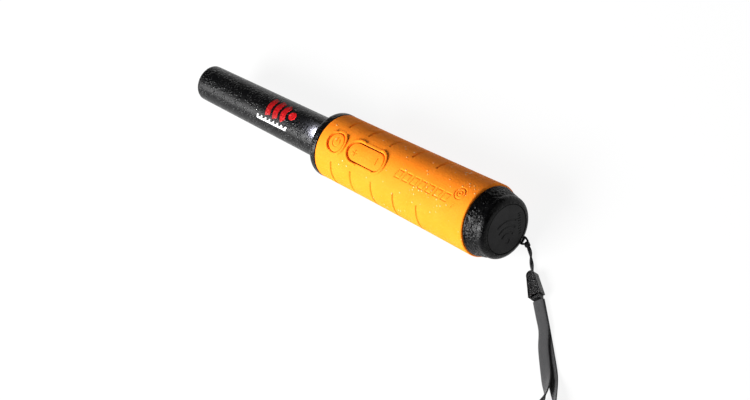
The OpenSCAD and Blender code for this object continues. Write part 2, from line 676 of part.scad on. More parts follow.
probe_tube();
handle_shell();
grip_sleeve();
power_key();
rocker_key();
rocker_pin();
power_boot();
rocker_boots();
torch_lens();
lens_seal();
torch_led();
ferrite_rod();
coil_former();
transmit_coil();
receive_coil_front();
receive_coil_rear();
tip_foam();
rear_foam();
coil_leads();
chassis_sled();
chassis_screws();
circuit_board();
board_screws();
tact_switches();
switch_plungers();
controller_chip();
amplifier_chips();
piezo_sounder();
vibration_motor();
eccentric_weight();
battery_leads();
contact_plate();
contact_springs();
battery_case();
battery_studs();
neck_seal();
battery_pad();
battery_cap();
cap_disc();
lanyard_hitch();
lanyard_cord();
lanyard_ferrule();
wrist_strap();
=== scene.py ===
# %% [markdown]
# # A pinpointer probe
# A pinpointer is the small hand-held metal detector that finds the exact place of a coin in
# its hole. A thin black probe holds the coil, a soft yellow sleeve with two keys covers the
# handle, and a black cap at the rear closes the battery bay and carries the wrist lanyard.
# The imported model is the fixed frame: it gives every place and size, and this lesson dresses
# it. We start by loading it.

# %% Load the frame
import math

import bmesh
import bpy
import numpy as np
from mathutils import Matrix, Vector, noise


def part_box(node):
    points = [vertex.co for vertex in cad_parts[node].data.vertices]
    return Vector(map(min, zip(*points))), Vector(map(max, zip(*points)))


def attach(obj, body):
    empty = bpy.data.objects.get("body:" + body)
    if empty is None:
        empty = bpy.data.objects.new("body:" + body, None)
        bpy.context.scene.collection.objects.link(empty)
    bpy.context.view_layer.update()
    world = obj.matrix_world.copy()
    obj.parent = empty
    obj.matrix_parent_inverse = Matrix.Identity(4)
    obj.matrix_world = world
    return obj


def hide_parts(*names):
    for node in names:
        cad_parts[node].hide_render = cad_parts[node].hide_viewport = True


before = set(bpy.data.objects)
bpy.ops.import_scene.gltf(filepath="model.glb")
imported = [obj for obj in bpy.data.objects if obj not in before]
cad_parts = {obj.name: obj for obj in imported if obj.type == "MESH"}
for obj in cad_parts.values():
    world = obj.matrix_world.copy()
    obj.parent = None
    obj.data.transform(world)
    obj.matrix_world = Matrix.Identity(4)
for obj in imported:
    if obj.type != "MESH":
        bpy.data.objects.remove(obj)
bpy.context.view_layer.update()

# %% [markdown]
# ## The sizes that everything hangs on
# All lengths are in metres, so a millimetre gets a name of its own. The tool lies along X with
# its keys up. Its axis, its ends and the places of its keys are read off the frame, and only
# the few radii that a box can't tell are written down here.

# %% Stations and radii
MM = 0.001
hair, weld = 0.01 * MM, 0.002 * MM
tube_low, tube_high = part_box("probe_tube")
sleeve_low, sleeve_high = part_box("grip_sleeve")
cap_low, cap_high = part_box("battery_cap")
axis_z = (tube_low.z + tube_high.z) / 2
tip_x = tube_low.x
grip_front = sleeve_low.x
grip_rear = sleeve_high.x
cap_end = cap_high.x
shoulder_len = 6.5 * MM
shoulder_x = grip_front - shoulder_len
probe_tip_r = 10.6 * MM
probe_root_r = 12.3 * MM
shoulder_r = (tube_high.z - tube_low.z) / 2
grip_front_r = 19.3 * MM
grip_mid_r = 20.4 * MM
grip_rear_r = axis_z - sleeve_low.z
grip_wall = 2.4 * MM
cap_front_r = 21 * MM
cap_rim_r = 18.95 * MM
print(f"tool {1000 * (cap_end - tip_x):.1f} mm long, axis {1000 * axis_z:.1f} mm up")

# %% [markdown]
# ## The camera
# The camera looks down on the tool from behind the cap, with a long lens, so that the probe
# runs away to the upper left. A level camera is made from an azimuth and an elevation, and
# then rolled about its own line of sight, as a camera is turned in the hand.

# %% Camera
view_azimuth = math.radians(85.58)
view_elevation = math.radians(48.84)
view_roll = math.radians(57.41)
view_distance = 2.5695
aim = Vector((31.65 * MM, -18.47 * MM, axis_z))
back = Vector((
    math.sin(view_azimuth) * math.cos(view_elevation),
    -math.cos(view_azimuth) * math.cos(view_elevation),
    math.sin(view_elevation),
))
level_right = Vector((0, 0, 1)).cross(back).normalized()
level = Matrix((level_right, back.cross(level_right), back)).transposed().to_4x4()
camera_data = bpy.data.cameras.new("camera")
camera_data.lens = 216
camera_data.sensor_width = 36
camera_data.clip_end = 50
camera = bpy.data.objects.new("camera", camera_data)
bpy.context.scene.collection.objects.link(camera)
camera.matrix_world = (
    Matrix.Translation(aim + view_distance * back) @ level @ Matrix.Rotation(-view_roll, 4, "Z")
)
bpy.context.scene.camera = camera
print("camera", [round(c, 3) for c in camera.location])

# %% [markdown]
# ## Helpers for modelling by hand
# Blender's operators act on whatever is selected, so each step starts by clearing the
# selection. These helpers do what the hand does over and over: start clean, step into edit
# mode, pick vertices by their place, apply a modifier, and set the finished piece down with
# its origin at the world's origin and its faces pointing out.

# %% Selection and finishing helpers
def deselect():
    if bpy.context.object and bpy.context.object.mode != "OBJECT":
        bpy.ops.object.mode_set(mode="OBJECT")
    bpy.ops.object.select_all(action="DESELECT")


def activate(piece):
    deselect()
    piece.select_set(True)
    bpy.context.view_layer.objects.active = piece


def edit(piece):
    activate(piece)
    bpy.ops.object.mode_set(mode="EDIT")
    bpy.ops.mesh.select_mode(type="VERT")
    bpy.ops.mesh.select_all(action="DESELECT")


def pick(piece, test):
    """Selects the vertices whose place passes the test, in edit mode."""
    mesh = bmesh.from_edit_mesh(piece.data)
    for vertex in mesh.verts:
        vertex.select = bool(test(vertex.co))
    mesh.select_flush_mode()
    bmesh.update_edit_mesh(piece.data)


def modify(piece, kind, **settings):
    """Adds a modifier and applies it at once."""
    activate(piece)
    modifier = piece.modifiers.new(kind.lower(), kind)
    for key, value in settings.items():
        setattr(modifier, key, value)
    bpy.ops.object.modifier_apply(modifier=modifier.name)


def cut(piece, cutter, operation="DIFFERENCE"):
    """One boolean step; the cutter is used up."""
    modify(piece, "BOOLEAN", object=cutter, operation=operation, solver="EXACT")
    bpy.data.objects.remove(cutter)


def close(piece, name, angle=35):
    """Applies the place, merges doubles, turns the faces outwards and shades by angle."""
    activate(piece)
    bpy.ops.object.transform_apply(location=True, rotation=True, scale=True)
    bpy.ops.object.mode_set(mode="EDIT")
    bpy.ops.mesh.select_all(action="SELECT")
    bpy.ops.mesh.remove_doubles(threshold=weld)
    bpy.ops.mesh.normals_make_consistent(inside=False)
    bpy.ops.object.mode_set(mode="OBJECT")
    bpy.ops.object.shade_smooth_by_angle(angle=math.radians(angle))
    piece.name = name
    piece.data.name = name
    return piece


def join(pieces, name):
    deselect()
    for piece in pieces:
        piece.select_set(True)
    bpy.context.view_layer.objects.active = pieces[0]
    bpy.ops.object.join()
    pieces[0].name = name
    return pieces[0]


def set_down(mesh, name):
    """Makes a finished bmesh an object of the scene."""
    data = bpy.data.meshes.new(name)
    mesh.to_mesh(data)
    mesh.free()
    piece = bpy.data.objects.new(name, data)
    bpy.context.scene.collection.objects.link(piece)
    return piece


def rod(radius, depth, place, turned=(0, 0, 0), sides=48):
    """A plain cylinder about a place, upright or turned, with its place in its mesh."""
    deselect()
    bpy.ops.mesh.primitive_cylinder_add(
        vertices=sides, radius=radius, depth=depth, location=place, rotation=turned
    )
    bpy.ops.object.transform_apply(location=True, rotation=True)
    return bpy.context.object


def tell(piece):
    print(f"{piece.name}: {len(piece.data.vertices)} vertices, {len(piece.data.polygons)} faces")
    return piece


# %% [markdown]
# Most of this tool was turned or moulded round one axis, so the main helper draws half of a
# cross-section, as a line of edges, and spins it. The line is drawn by extruding one vertex
# from point to point. An arc helper gives the rounded corners of such a section.

# %% Turned pieces
def arc_points(centre_r, centre_x, radius, start, end, steps=8):
    """Points (radius, station) of a rounded corner; angles in degrees, 0 outwards, 90 to +X."""
    angles = [math.radians(start + (end - start) * i / steps) for i in range(steps + 1)]
    return [(centre_r + radius * math.cos(a), centre_x + radius * math.sin(a)) for a in angles]


def draw_line(points):
    deselect()
    bpy.ops.mesh.primitive_plane_add(size=MM, location=points[0])
    line = bpy.context.object
    bpy.ops.object.mode_set(mode="EDIT")
    bpy.ops.mesh.select_all(action="SELECT")
    bpy.ops.mesh.merge(type="CENTER")
    for here, there in zip(points, points[1:]):
        step = Vector(there) - Vector(here)
        bpy.ops.mesh.extrude_region_move(TRANSFORM_OT_translate={"value": step})
    bpy.ops.object.mode_set(mode="OBJECT")
    bpy.ops.object.transform_apply(location=True)
    return line


def turn(profile, steps=128, centre=None, axis=(1, 0, 0), up=(0, 0, 1)):
    """Spins a profile of (radius, distance along the axis) about the axis through centre."""
    centre = Vector(centre or (0, 0, axis_z))
    along, out = Vector(axis), Vector(up)
    line = draw_line([centre + out * r + along * x for r, x in profile])
    activate(line)
    bpy.ops.object.mode_set(mode="EDIT")
    bpy.ops.mesh.select_all(action="SELECT")
    bpy.ops.mesh.spin(steps=steps, angle=2 * math.pi, center=centre, axis=along)
    bpy.ops.mesh.select_all(action="SELECT")
    bpy.ops.mesh.remove_doubles(threshold=weld)
    bpy.ops.mesh.normals_make_consistent(inside=False)
    bpy.ops.object.mode_set(mode="OBJECT")
    return line


print("helpers ready")

# %% [markdown]
# ## The lanyard's cord
# The lanyard comes first, because it decides how much room the tool takes. A thin strand goes
# through the eye of the cap, and its two halves run side by side, lightly twisted, into the
# moulded ferrule. The route is the one that the frame's own cord follows, as a few listed points.
# Two small circles are swept along it: a ring is set at each station, and
# neighbouring rings are bridged. Near the eye the halves part and go round its web.

# %% Route of the cord
strand_d = 1.2 * MM
eye = Vector((124.65 * MM, 0, 2.5 * MM))
cord_points = [
    (126.6, 0, 2.5), (128.2, -0.4, 2.5), (129.7, -1.2, 2.4), (131, -2.1, 2.1), (132.6, -3.5, 1.6),
    (134.4, -5.3, 1.3), (136.3, -7.6, 1.2), (138.3, -9.9, 1.2), (140.2, -12, 1.2),
    (142, -13.8, 1.2), (144.2, -15.9, 1.6), (146.4, -17.9, 2), (148.6, -20, 2.2),
]
cord_route = [Vector(p) * MM for p in cord_points]


def smooth_route(points, per_step=6):
    """A Catmull-Rom curve through the points, as closely spaced points."""
    path = []
    count = len(points)
    for i in range(count - 1):
        p0, p1 = points[max(i - 1, 0)], points[i]
        p2, p3 = points[i + 1], points[min(i + 2, count - 1)]
        for k in range(per_step):
            t = k / per_step
            path.append(0.5 * (
                2 * p1 + (p2 - p0) * t + (2 * p0 - 5 * p1 + 4 * p2 - p3) * t * t
                + (3 * p1 - p0 - 3 * p2 + p3) * t ** 3
            ))
    return path + [points[-1]]


def route_length(path):
    return sum((b - a).length for a, b in zip(path, path[1:]))


cord_path = smooth_route(cord_route)
print(f"cord {1000 * route_length(cord_path):.1f} mm long")

# %% [markdown]
# A general sweep makes the cord, its knot and the thread: at each station of a path a ring of
# section points is placed in the plane across the path, and the rings are joined by quads. The
# ends get one closing face each. Blender's hand tools do this badly on a winding path, so it is
# written in mesh code.

# %% Sweep a section along a path
def sweep(name, path, section):
    """section holds the ring's points (across, up), in metres."""
    mesh = bmesh.new()
    rings, last = [], len(path) - 1
    for i, point in enumerate(path):
        along = (path[min(i + 1, last)] - path[max(i - 1, 0)]).normalized()
        side = Vector((0, 0, 1)).cross(along).normalized()
        up = along.cross(side)
        rings.append([mesh.verts.new(point + a * side + b * up) for a, b in section])
    for ring, following in zip(rings, rings[1:]):
        for j in range(len(ring)):
            k = (j + 1) % len(ring)
            mesh.faces.new((ring[j], ring[k], following[k], following[j]))
    mesh.faces.new(list(reversed(rings[0])))
    mesh.faces.new(rings[-1])
    return close(set_down(mesh, name), name, 60)


def circle(radius, sides=10):
    ring = [2 * math.pi * j / sides for j in range(sides)]
    return [(radius * math.cos(a), radius * math.sin(a)) for a in ring]


print("sweep ready")

# %% Two strands side by side
strand_off, half_twist, first_turn = 0.56 * MM, 9 * MM, math.radians(20)
web_points = ((0.1, 0.2), (0.1, 1.3), (0.6, 1.95), (1.8, 1.911), (2.9, 1.404), (3.8, 1))
shared_from = 14


def strand_path(side):
    """The route of one half: wide round the eye's web, then beside the other half, twisting."""
    path, run = [], 0
    for i, point in enumerate(cord_path):
        before = cord_path[max(i - 1, 0)]
        along = (cord_path[min(i + 1, len(cord_path) - 1)] - before).normalized()
        run += (point - before).length
        turned = first_turn + run / half_twist * math.pi
        across = Vector((0, 0, 1)).cross(along).normalized()
        up = along.cross(across)
        path.append(point + side * strand_off * (math.cos(turned) * across + math.sin(turned) * up))
    round_web = [eye + Vector((x, side * y, 0)) * MM for x, y in web_points]
    return smooth_route(round_web, 5) + path[shared_from:]


halves = [
    sweep(f"strand_{k}", strand_path(side), circle(strand_d / 2)) for k, side in enumerate((1, -1))
]
lanyard_cord = join(halves, "lanyard_strands")
tell(lanyard_cord)
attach(lanyard_cord, "cap")
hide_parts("lanyard_cord")

# %% [markdown]
# ## The knot at the eye
# Just past the eye the two halves are whipped together, so the loop can't slip off. Three
# turns of the same strand are coiled round them: one helix, swept with the same circle.

# %% Whipping
knot_at = Vector((129.4, -1.02, 2.42)) * MM
knot_along = Vector((0.83, -0.55, -0.06)).normalized()
knot_side = Vector((0, 0, 1)).cross(knot_along).normalized()
knot_up = knot_along.cross(knot_side)
knot_turns, knot_steps, knot_pitch = 3, 14, 0.78 * MM
knot_w, knot_h = 1.3225 * MM, 0.9775 * MM
knot_path = []
for i in range(knot_turns * knot_steps + 1):
    angle = 2 * math.pi * i / knot_steps
    drift = (i / knot_steps - knot_turns / 2) * knot_pitch
    round_it = knot_w * math.cos(angle) * knot_side + knot_h * math.sin(angle) * knot_up
    knot_path.append(knot_at + drift * knot_along + round_it)
lanyard_whipping = sweep("lanyard_whipping", knot_path, circle(0.42 * MM, 8))
tell(lanyard_whipping)
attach(lanyard_whipping, "cap")
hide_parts("lanyard_hitch")

# %% [markdown]
# ## The moulded ferrule
# The ferrule is a flat black moulding that grips the strap's two ends and the cord. Seen from
# above it is a round nose that widens to square shoulders. A cylinder gives the nose, its rear
# half is pulled out into the body, and the edges are bevelled. Its upper face carries a panel,
# sunk by an inset, which the real one fills with a coarse texture.

# %% Ferrule
ferrule_start = Vector((142, -13.8, 0)) * MM
ferrule_turn = math.radians(-43)
ferrule_len, ferrule_w, ferrule_h = 18 * MM, 8.4 * MM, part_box("lanyard_ferrule")[1].z
nose_r = 2.7 * MM
shoulder_end = ferrule_len - 2.2 * MM

lanyard_ferrule = rod(nose_r, ferrule_h, (nose_r, 0, ferrule_h / 2))
edit(lanyard_ferrule)
pick(lanyard_ferrule, lambda co: co.x > nose_r + hair)
bpy.ops.transform.resize(value=(0, 1, 1), center_override=(shoulder_end, 0, 0))
bpy.ops.transform.resize(value=(1, ferrule_w / 2 / nose_r, 1), center_override=(0, 0, 0))
rear_half_w = ferrule_w / 2 - 1.4 * MM
pick(lanyard_ferrule, lambda co: co.x > shoulder_end - hair and abs(co.y) < rear_half_w)
bpy.ops.transform.translate(value=(ferrule_len - shoulder_end, 0, 0))
bpy.ops.object.mode_set(mode="OBJECT")
corners = {"limit_method": "ANGLE", "angle_limit": math.radians(50)}
modify(lanyard_ferrule, "BEVEL", width=1.15 * MM, segments=5, **corners)
print("ferrule", len(lanyard_ferrule.data.polygons), "faces")

# %% Sunken panel on the ferrule's upper face
edit(lanyard_ferrule)
bpy.ops.mesh.select_mode(type="FACE")
ferrule_mesh = bmesh.from_edit_mesh(lanyard_ferrule.data)
for face in ferrule_mesh.faces:
    face.select = face.normal.z > 0.999 and face.calc_center_median().z > ferrule_h - 0.05 * MM
bmesh.update_edit_mesh(lanyard_ferrule.data)
bpy.ops.mesh.inset(thickness=0.3 * MM, depth=0)
bpy.ops.mesh.inset(thickness=0.25 * MM, depth=-0.3 * MM)
bpy.ops.object.mode_set(mode="OBJECT")
lanyard_ferrule.rotation_euler.z = ferrule_turn
lanyard_ferrule.location = ferrule_start
close(lanyard_ferrule, "ferrule_moulding", 40)
tell(lanyard_ferrule)
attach(lanyard_ferrule, "cap")
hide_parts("lanyard_ferrule")

# %% [markdown]
# ## The wrist strap
# The strap is one loop of flat woven webbing. Both ends enter the ferrule, one lying on the
# other. The loop runs out along the surface, and then turns up onto its edge, as a stiff
# little strap does, and swings round. Each station of the route says where it is in plan and
# how far the webbing has turned onto its edge. The section is thin with rounded selvedges,
# and a UV map in webbing widths lets the weave follow the strap round every bend.

# %% Route of the strap
strap_w, strap_t, layer_gap = 7 * MM, 1.1 * MM, 0.1 * MM
strap_stations = [
    (155.3, -26.2, 0), (162, -32.6, 0), (169, -39.4, 0), (176, -46.4, 0), (183, -53.4, 0),
    (190, -60.4, 5), (197, -67.4, 30), (203.5, -74.2, 60), (210, -82, 85), (214.5, -91, 90),
    (217, -101, 90), (217.5, -111, 90), (215, -120, 90), (209, -126.5, 90), (200.5, -128.5, 90),
    (192, -126, 90), (186.5, -119, 90), (184.5, -110, 90), (185, -100, 90), (187.5, -90, 90),
    (191, -82, 90), (193.6, -75.6, 75), (193, -69.4, 45), (187.4, -62.6, 10), (181, -55.4, 0),
    (174.6, -47.8, 0), (169, -39.4, 0), (162, -32.6, 0), (155.3, -26.2, 0),
]


def strap_route():
    """Places and turns of the webbing's middle line, finely divided, and its side vectors."""
    count = len(strap_stations)
    rows = [Vector(s) for s in strap_stations]
    rows = [Vector((r.x * MM, r.y * MM, r.z)) for r in rows]
    fine = smooth_route(rows, 5)
    path, sides, ups = [], [], []
    for i, row in enumerate(fine):
        share = i / (len(fine) - 1)
        step = fine[min(i + 1, len(fine) - 1)] - fine[max(i - 1, 0)]
        along = Vector((step.x, step.y, 0)).normalized()
        returning = max(0.0, min(1.0, (share * (count - 1) - 9) / 8))
        flip = -1 if share > 0.5 else 1
        turned = math.radians(max(0.0, min(90.0, row.z)))
        layer = (0.5 * strap_t + returning * (strap_t + layer_gap)) * math.cos(turned)
        across = Vector((0, 0, 1)).cross(along) * flip
        side = math.cos(turned) * across + math.sin(turned) * Vector((0, 0, 1))
        path.append(Vector((row.x, row.y, layer + strap_w / 2 * math.sin(turned))))
        sides.append(side)
        ups.append(along.cross(side))
    return path, sides, ups


strap_path, strap_sides, strap_ups = strap_route()
print(f"strap {1000 * route_length(strap_path):.0f} mm round")


# %% Webbing swept along the route
def strap_section():
    """Half-round selvedges, four steps each, and a flat middle in three steps a side."""
    ring = []
    for end in (1, -1):
        for k in range(5):
            a = math.radians(-90 + 45 * k) if end > 0 else math.radians(90 + 45 * k)
            ring.append((end * (strap_w - strap_t) / 2 + strap_t / 2 * math.cos(a),
                         strap_t / 2 * math.sin(a)))
        middle = [(strap_w - strap_t) / 2 * f for f in (0.5, 0, -0.5)]
        ring += [(end * m, end * strap_t / 2) for m in middle]
    return ring


section = strap_section()
strap_mesh = bmesh.new()
uv_layer = strap_mesh.loops.layers.uv.new("weave")
run, rings = 0, []
for i, point in enumerate(strap_path):
    run += (point - strap_path[max(i - 1, 0)]).length
    across, up = strap_sides[i], strap_ups[i]
    rings.append(([strap_mesh.verts.new(point + a * across + b * up) for a, b in section], run / strap_w))
for (ring, v0), (following, v1) in zip(rings, rings[1:]):
    for j in range(len(section)):
        k = (j + 1) % len(section)
        face = strap_mesh.faces.new((ring[j], ring[k], following[k], following[j]))
        for loop, (point, v) in zip(face.loops, ((j, v0), (k, v0), (k, v1), (j, v1))):
            loop[uv_layer].uv = (section[point][0] / strap_w + 0.5, v)
strap_mesh.faces.new(list(reversed(rings[0][0])))
strap_mesh.faces.new(rings[-1][0])
wrist_strap = close(set_down(strap_mesh, "webbing_strap"), "webbing_strap", 50)
tell(wrist_strap)
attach(wrist_strap, "cap")
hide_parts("wrist_strap")

# %% [markdown]
# ## The relief of the sleeve
# The sleeve is one soft moulding, and all that it carries is shallow: grooves round its sides
# and underside, raised lips round the keys, and a band of sunk outlines. Carving such shallow,
# soft-edged shapes with booleans leaves hard, broken edges. A fine sheet whose points are
# raised and lowered by a height rule keeps them soft, as rubber out of a mould is. The rule
# is built from distances: how far is this point from an outline? Here x runs along the tool
# and s runs round it, both in metres, with s positive towards -Y.

# %% Distances and edges
power_low, power_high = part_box("power_key")
rocker_low, rocker_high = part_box("rocker_key")
power_x = (power_low.x + power_high.x) / 2
rocker_x = (rocker_low.x + rocker_high.x) / 2
power_d, rocker_w, rocker_len = 11.2 * MM, 11.2 * MM, 28.4 * MM
key_gap, lip_w, lip_h = 0.45 * MM, 2.2 * MM, 0.8 * MM


def grip_r(x):
    """Radius of the flared grip at station x."""
    u = (x - grip_front) / (grip_rear - grip_front)
    ends = grip_front_r * (1 - u) * (1 - 2 * u) + grip_rear_r * u * (2 * u - 1)
    return ends + 4 * grip_mid_r * u * (1 - u)


def stadium(x, s, centre, length, width):
    """Distance to the outline of a slot with round ends; negative inside it."""
    over = np.maximum(np.abs(x - centre) - (length - width) / 2, 0)
    return np.hypot(over, s) - width / 2


def bar(x, s, x0, s0, x1, s1):
    """Distance to a straight stroke from one point to another."""
    dx, ds = x1 - x0, s1 - s0
    t = np.clip(((x - x0) * dx + (s - s0) * ds) / (dx * dx + ds * ds), 0, 1)
    return np.hypot(x - x0 - t * dx, s - s0 - t * ds)


def soft(distance, half, edge):
    """1 in the middle of a stroke of that half width, 0 outside, with a soft edge."""
    t = np.clip((half - np.abs(distance)) / edge, 0, 1)
    return t * t * (3 - 2 * t)


def rounding(distance, radius):
    """How far a rounded edge drops at that distance inside it."""
    t = np.clip(1 - distance / radius, 0, 1)
    return radius * (1 - np.sqrt(1 - t * t))


print("power key at", round(1000 * power_x, 2), "two-way key at", round(1000 * rocker_x, 2))

# %% [markdown]
# ## Marks on the sleeve
# The band behind the keys is a plain ladder of slanted cells, each a sunk outline, like the
# face of a signal meter. A ringed dot closes it.

# %% Height rule of the sleeve
groove_first, groove_pitch, groove_growth = 14.1 * MM, 16.6 * MM, 1.15 * MM
groove_half, groove_depth, groove_gap = 0.75 * MM, 0.75 * MM, math.radians(36)
band_start, band_pitch, cell_w, cell_h = 53.4 * MM, 6.5 * MM, 5.2 * MM, 6 * MM
cell_slant, cell_count, engraved = 0.32, 7, 0.42 * MM
target_x, target_s = 102.6 * MM, -5 * MM
lip_edge, hole_edge, end_edge = 0.6 * MM, 0.45 * MM, 0.9 * MM


def cell_mark(x, s):
    """Sunk outlines of the ladder's slanted cells."""
    depth = np.zeros_like(x)
    upright = x + cell_slant * s
    for i in range(cell_count):
        middle = band_start + cell_w / 2 + i * band_pitch
        across, tall = np.abs(upright - middle) - cell_w / 2, np.abs(s - 0.3 * MM) - cell_h / 2
        box = np.maximum(across, tall)
        depth = np.maximum(depth, soft(box + 0.55 * MM, 0.55 * MM, 0.3 * MM))
    return depth


def target_mark(x, s):
    ring = np.hypot(x - target_x, s - target_s)
    tick = bar(x, s, 103.4 * MM, 1.2 * MM, 101.6 * MM, 4.2 * MM)
    marks = [soft(ring - 3.7 * MM, 0.42 * MM, 0.3 * MM), soft(ring - 1.9 * MM, 0.4 * MM, 0.3 * MM),
             soft(ring, 0.7 * MM, 0.3 * MM), soft(tick, 0.4 * MM, 0.3 * MM)]
    return np.maximum.reduce(marks)


def lips(x, s):
    """Raised lips: strong at the two ends of each key, and almost gone along its sides."""
    around = stadium(x, s, power_x, power_d, power_d)
    turn_p = np.arctan2(np.abs(s), np.abs(x - power_x))
    strength = 0.2 + 0.8 * soft(turn_p, math.radians(66), math.radians(14))
    height = strength * soft(around - key_gap - lip_w / 2, lip_w / 2, lip_edge)
    outline = stadium(x, s, rocker_x, rocker_len, rocker_w)
    from_middle = np.abs(x - rocker_x - 1.4 * MM)
    strength = 0.2 + 0.8 * (1 - soft(from_middle, 7.2 * MM, 1.4 * MM))
    return np.maximum(height, strength * soft(outline - key_gap - lip_w / 2, lip_w / 2, lip_edge))


def sleeve_height(x, s, angle):
    """How far the sleeve stands off its plain flare, in metres."""
    height = lip_h * lips(x, s)
    for i in range(5):
        station = grip_front + groove_first + i * groove_pitch + i * (i - 1) / 2 * groove_growth
        beyond = np.maximum(groove_gap - np.abs(angle), 0) * grip_mid_r
        height -= groove_depth * soft(np.hypot(x - station, beyond), groove_half, groove_half)
    height -= engraved * np.maximum(cell_mark(x, s), target_mark(x, s))
    holes = np.minimum(stadium(x, s, power_x, power_d, power_d),
                       stadium(x, s, rocker_x, rocker_len, rocker_w)) - key_gap
    height -= np.where(holes > 0, rounding(holes, hole_edge), hole_edge)
    return height - rounding(x - grip_front, end_edge) - rounding(grip_rear - x, end_edge)


print(f"sleeve: 5 grooves, {cell_count} cells, lips {1000 * lip_h:.1f} mm high")

# %% [markdown]
# ## The sleeve itself
# A flat grid is wrapped round the handle: one side of it becomes the station along the tool
# and the other the angle round it. The columns lie close together round the keys and the
# band, where the relief is fine, and further apart underneath. Then both ends are extruded
# inwards and the two inner rims are bridged, so that the sleeve is a closed body.

# %% Wrap a grid round the tool
def column_angles():
    """Angles from one side round to the same side again, fine at the top."""
    fine = np.arange(-37, 37.01, 0.85)
    middle = np.arange(38.5, 64, 1.5)
    coarse = np.arange(66.5, 180, 2.6)
    half = np.concatenate([middle, coarse])
    return np.radians(np.concatenate([[-180], -half[::-1], fine, half, [180]]))


def wrap(name, stations, angles, radius):
    """A grid laid round the axis; radius(x, s, angle) gives each point's distance from it."""
    deselect()
    lengthways, roundabout = len(stations) - 1, len(angles) - 1
    bpy.ops.mesh.primitive_grid_add(x_subdivisions=lengthways, y_subdivisions=roundabout, size=2)
    sheet = bpy.context.object
    count = len(sheet.data.vertices)
    flat = np.empty(count * 3)
    sheet.data.vertices.foreach_get("co", flat)
    flat = flat.reshape(-1, 3)
    i = np.rint((flat[:, 0] + 1) / 2 * lengthways).astype(int)
    j = np.rint((flat[:, 1] + 1) / 2 * roundabout).astype(int)
    x, angle = stations[i], angles[j]
    r = radius(x, angle * grip_r(x), angle)
    placed = np.stack([x, -r * np.sin(angle), axis_z + r * np.cos(angle)], axis=1)
    sheet.data.vertices.foreach_set("co", placed.ravel())
    sheet.data.update()
    sheet.name = name
    return sheet


stations = np.concatenate([
    grip_front + np.array([0, 0.08, 0.22, 0.45]) * MM,
    np.arange(grip_front + 0.75 * MM, grip_rear - 0.6 * MM, 0.36 * MM),
    grip_rear - np.array([0.45, 0.22, 0.08, 0]) * MM,
])
sleeve = wrap("sleeve", stations, column_angles(), lambda x, s, a: grip_r(x) + sleeve_height(x, s, a))
edit(sleeve)
bpy.ops.mesh.select_all(action="SELECT")
bpy.ops.mesh.remove_doubles(threshold=weld)
for end, inner in ((grip_front, grip_front_r - grip_wall), (grip_rear, grip_rear_r - grip_wall)):
    bpy.ops.mesh.select_all(action="DESELECT")
    pick(sleeve, lambda co: abs(co.x - end) < hair)
    outer = (grip_front_r if end == grip_front else grip_rear_r) - end_edge
    bpy.ops.mesh.extrude_region_move()
    bpy.ops.transform.resize(value=(1, inner / outer, inner / outer), center_override=(end, 0, axis_z))
pick(sleeve, lambda co: math.hypot(co.y, co.z - axis_z) < grip_r(co.x) - grip_wall + 0.05 * MM)
bpy.ops.mesh.select_mode(type="EDGE")
bpy.ops.mesh.bridge_edge_loops()
bpy.ops.object.mode_set(mode="OBJECT")
close(sleeve, "grip_sleeve_moulding", 50)
tell(sleeve)

# %% [markdown]
# The two keys sit in holes of the sleeve. Each hole is cut by a prism of the key's outline,
# made from a cylinder whose halves are pulled apart along the tool.

# %% Holes for the keys
def prism(centre, length, width, low, high, sides=96):
    """An upright slot-shaped prism."""
    block = rod(width / 2, high - low, (centre, 0, (low + high) / 2), sides=sides)
    if length > width:
        edit(block)
        for way in (1, -1):
            bpy.ops.mesh.select_all(action="DESELECT")
            pick(block, lambda co: way * (co.x - centre) > hair)
            bpy.ops.transform.translate(value=(way * (length - width) / 2, 0, 0))
        bpy.ops.object.mode_set(mode="OBJECT")
    return block


for centre, length, width in ((power_x, power_d, power_d), (rocker_x, rocker_len, rocker_w)):
    grown = 2 * key_gap
    cut(sleeve, prism(centre, length + grown, width + grown, axis_z + 10 * MM, axis_z + 30 * MM))
close(sleeve, "grip_sleeve_moulding", 40)
tell(sleeve)
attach(sleeve, "housing")
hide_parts("grip_sleeve")

# %% [markdown]
# ## The keys
# A key is a small rubber pad on a stem. Its top follows the flare of the grip, and its sign
# is sunk into it, so the same wrapped grid makes it: the grid is extruded down, and a prism
# of the key's outline cuts its sides and its flat underside. The underside lies so high that
# it clears the shell when the key is pressed home. The stems are turned. The two-way key has
# two stems, and a lug between them that rocks on a pin.

# %% Key pads
def key_height(x, s, centre, length, width, symbol):
    edge = -stadium(x, s, centre, length, width)
    return -rounding(np.maximum(edge, 0), 0.5 * MM) - 0.34 * MM * symbol(x, s)


def stroke(distance):
    return soft(distance, 0.38 * MM, 0.25 * MM)


def power_symbol(x, s):
    """The standby sign: a ring that is open at one side, with a stroke in the opening."""
    x, s = x - power_x, s + 0.2 * MM
    ring = np.where(np.abs(np.arctan2(x, -s)) < math.radians(38), 1, np.hypot(x, s) - 2.7 * MM)
    return np.maximum(stroke(ring), stroke(bar(x, s, 0, -3.2 * MM, 0, -0.5 * MM)))


def two_way_symbol(x, s):
    plus_x, minus_x, arm = rocker_x - 8.6 * MM, rocker_x + 9.2 * MM, 1.7 * MM
    bars = [
        bar(x, s, plus_x - arm, 0.6 * MM, plus_x + arm, 0.6 * MM),
        bar(x, s, plus_x, 0.6 * MM - arm, plus_x, 0.6 * MM + arm),
        bar(x, s, minus_x, -2.3 * MM, minus_x, 1.9 * MM),
    ]
    return np.maximum.reduce([stroke(distance) for distance in bars])


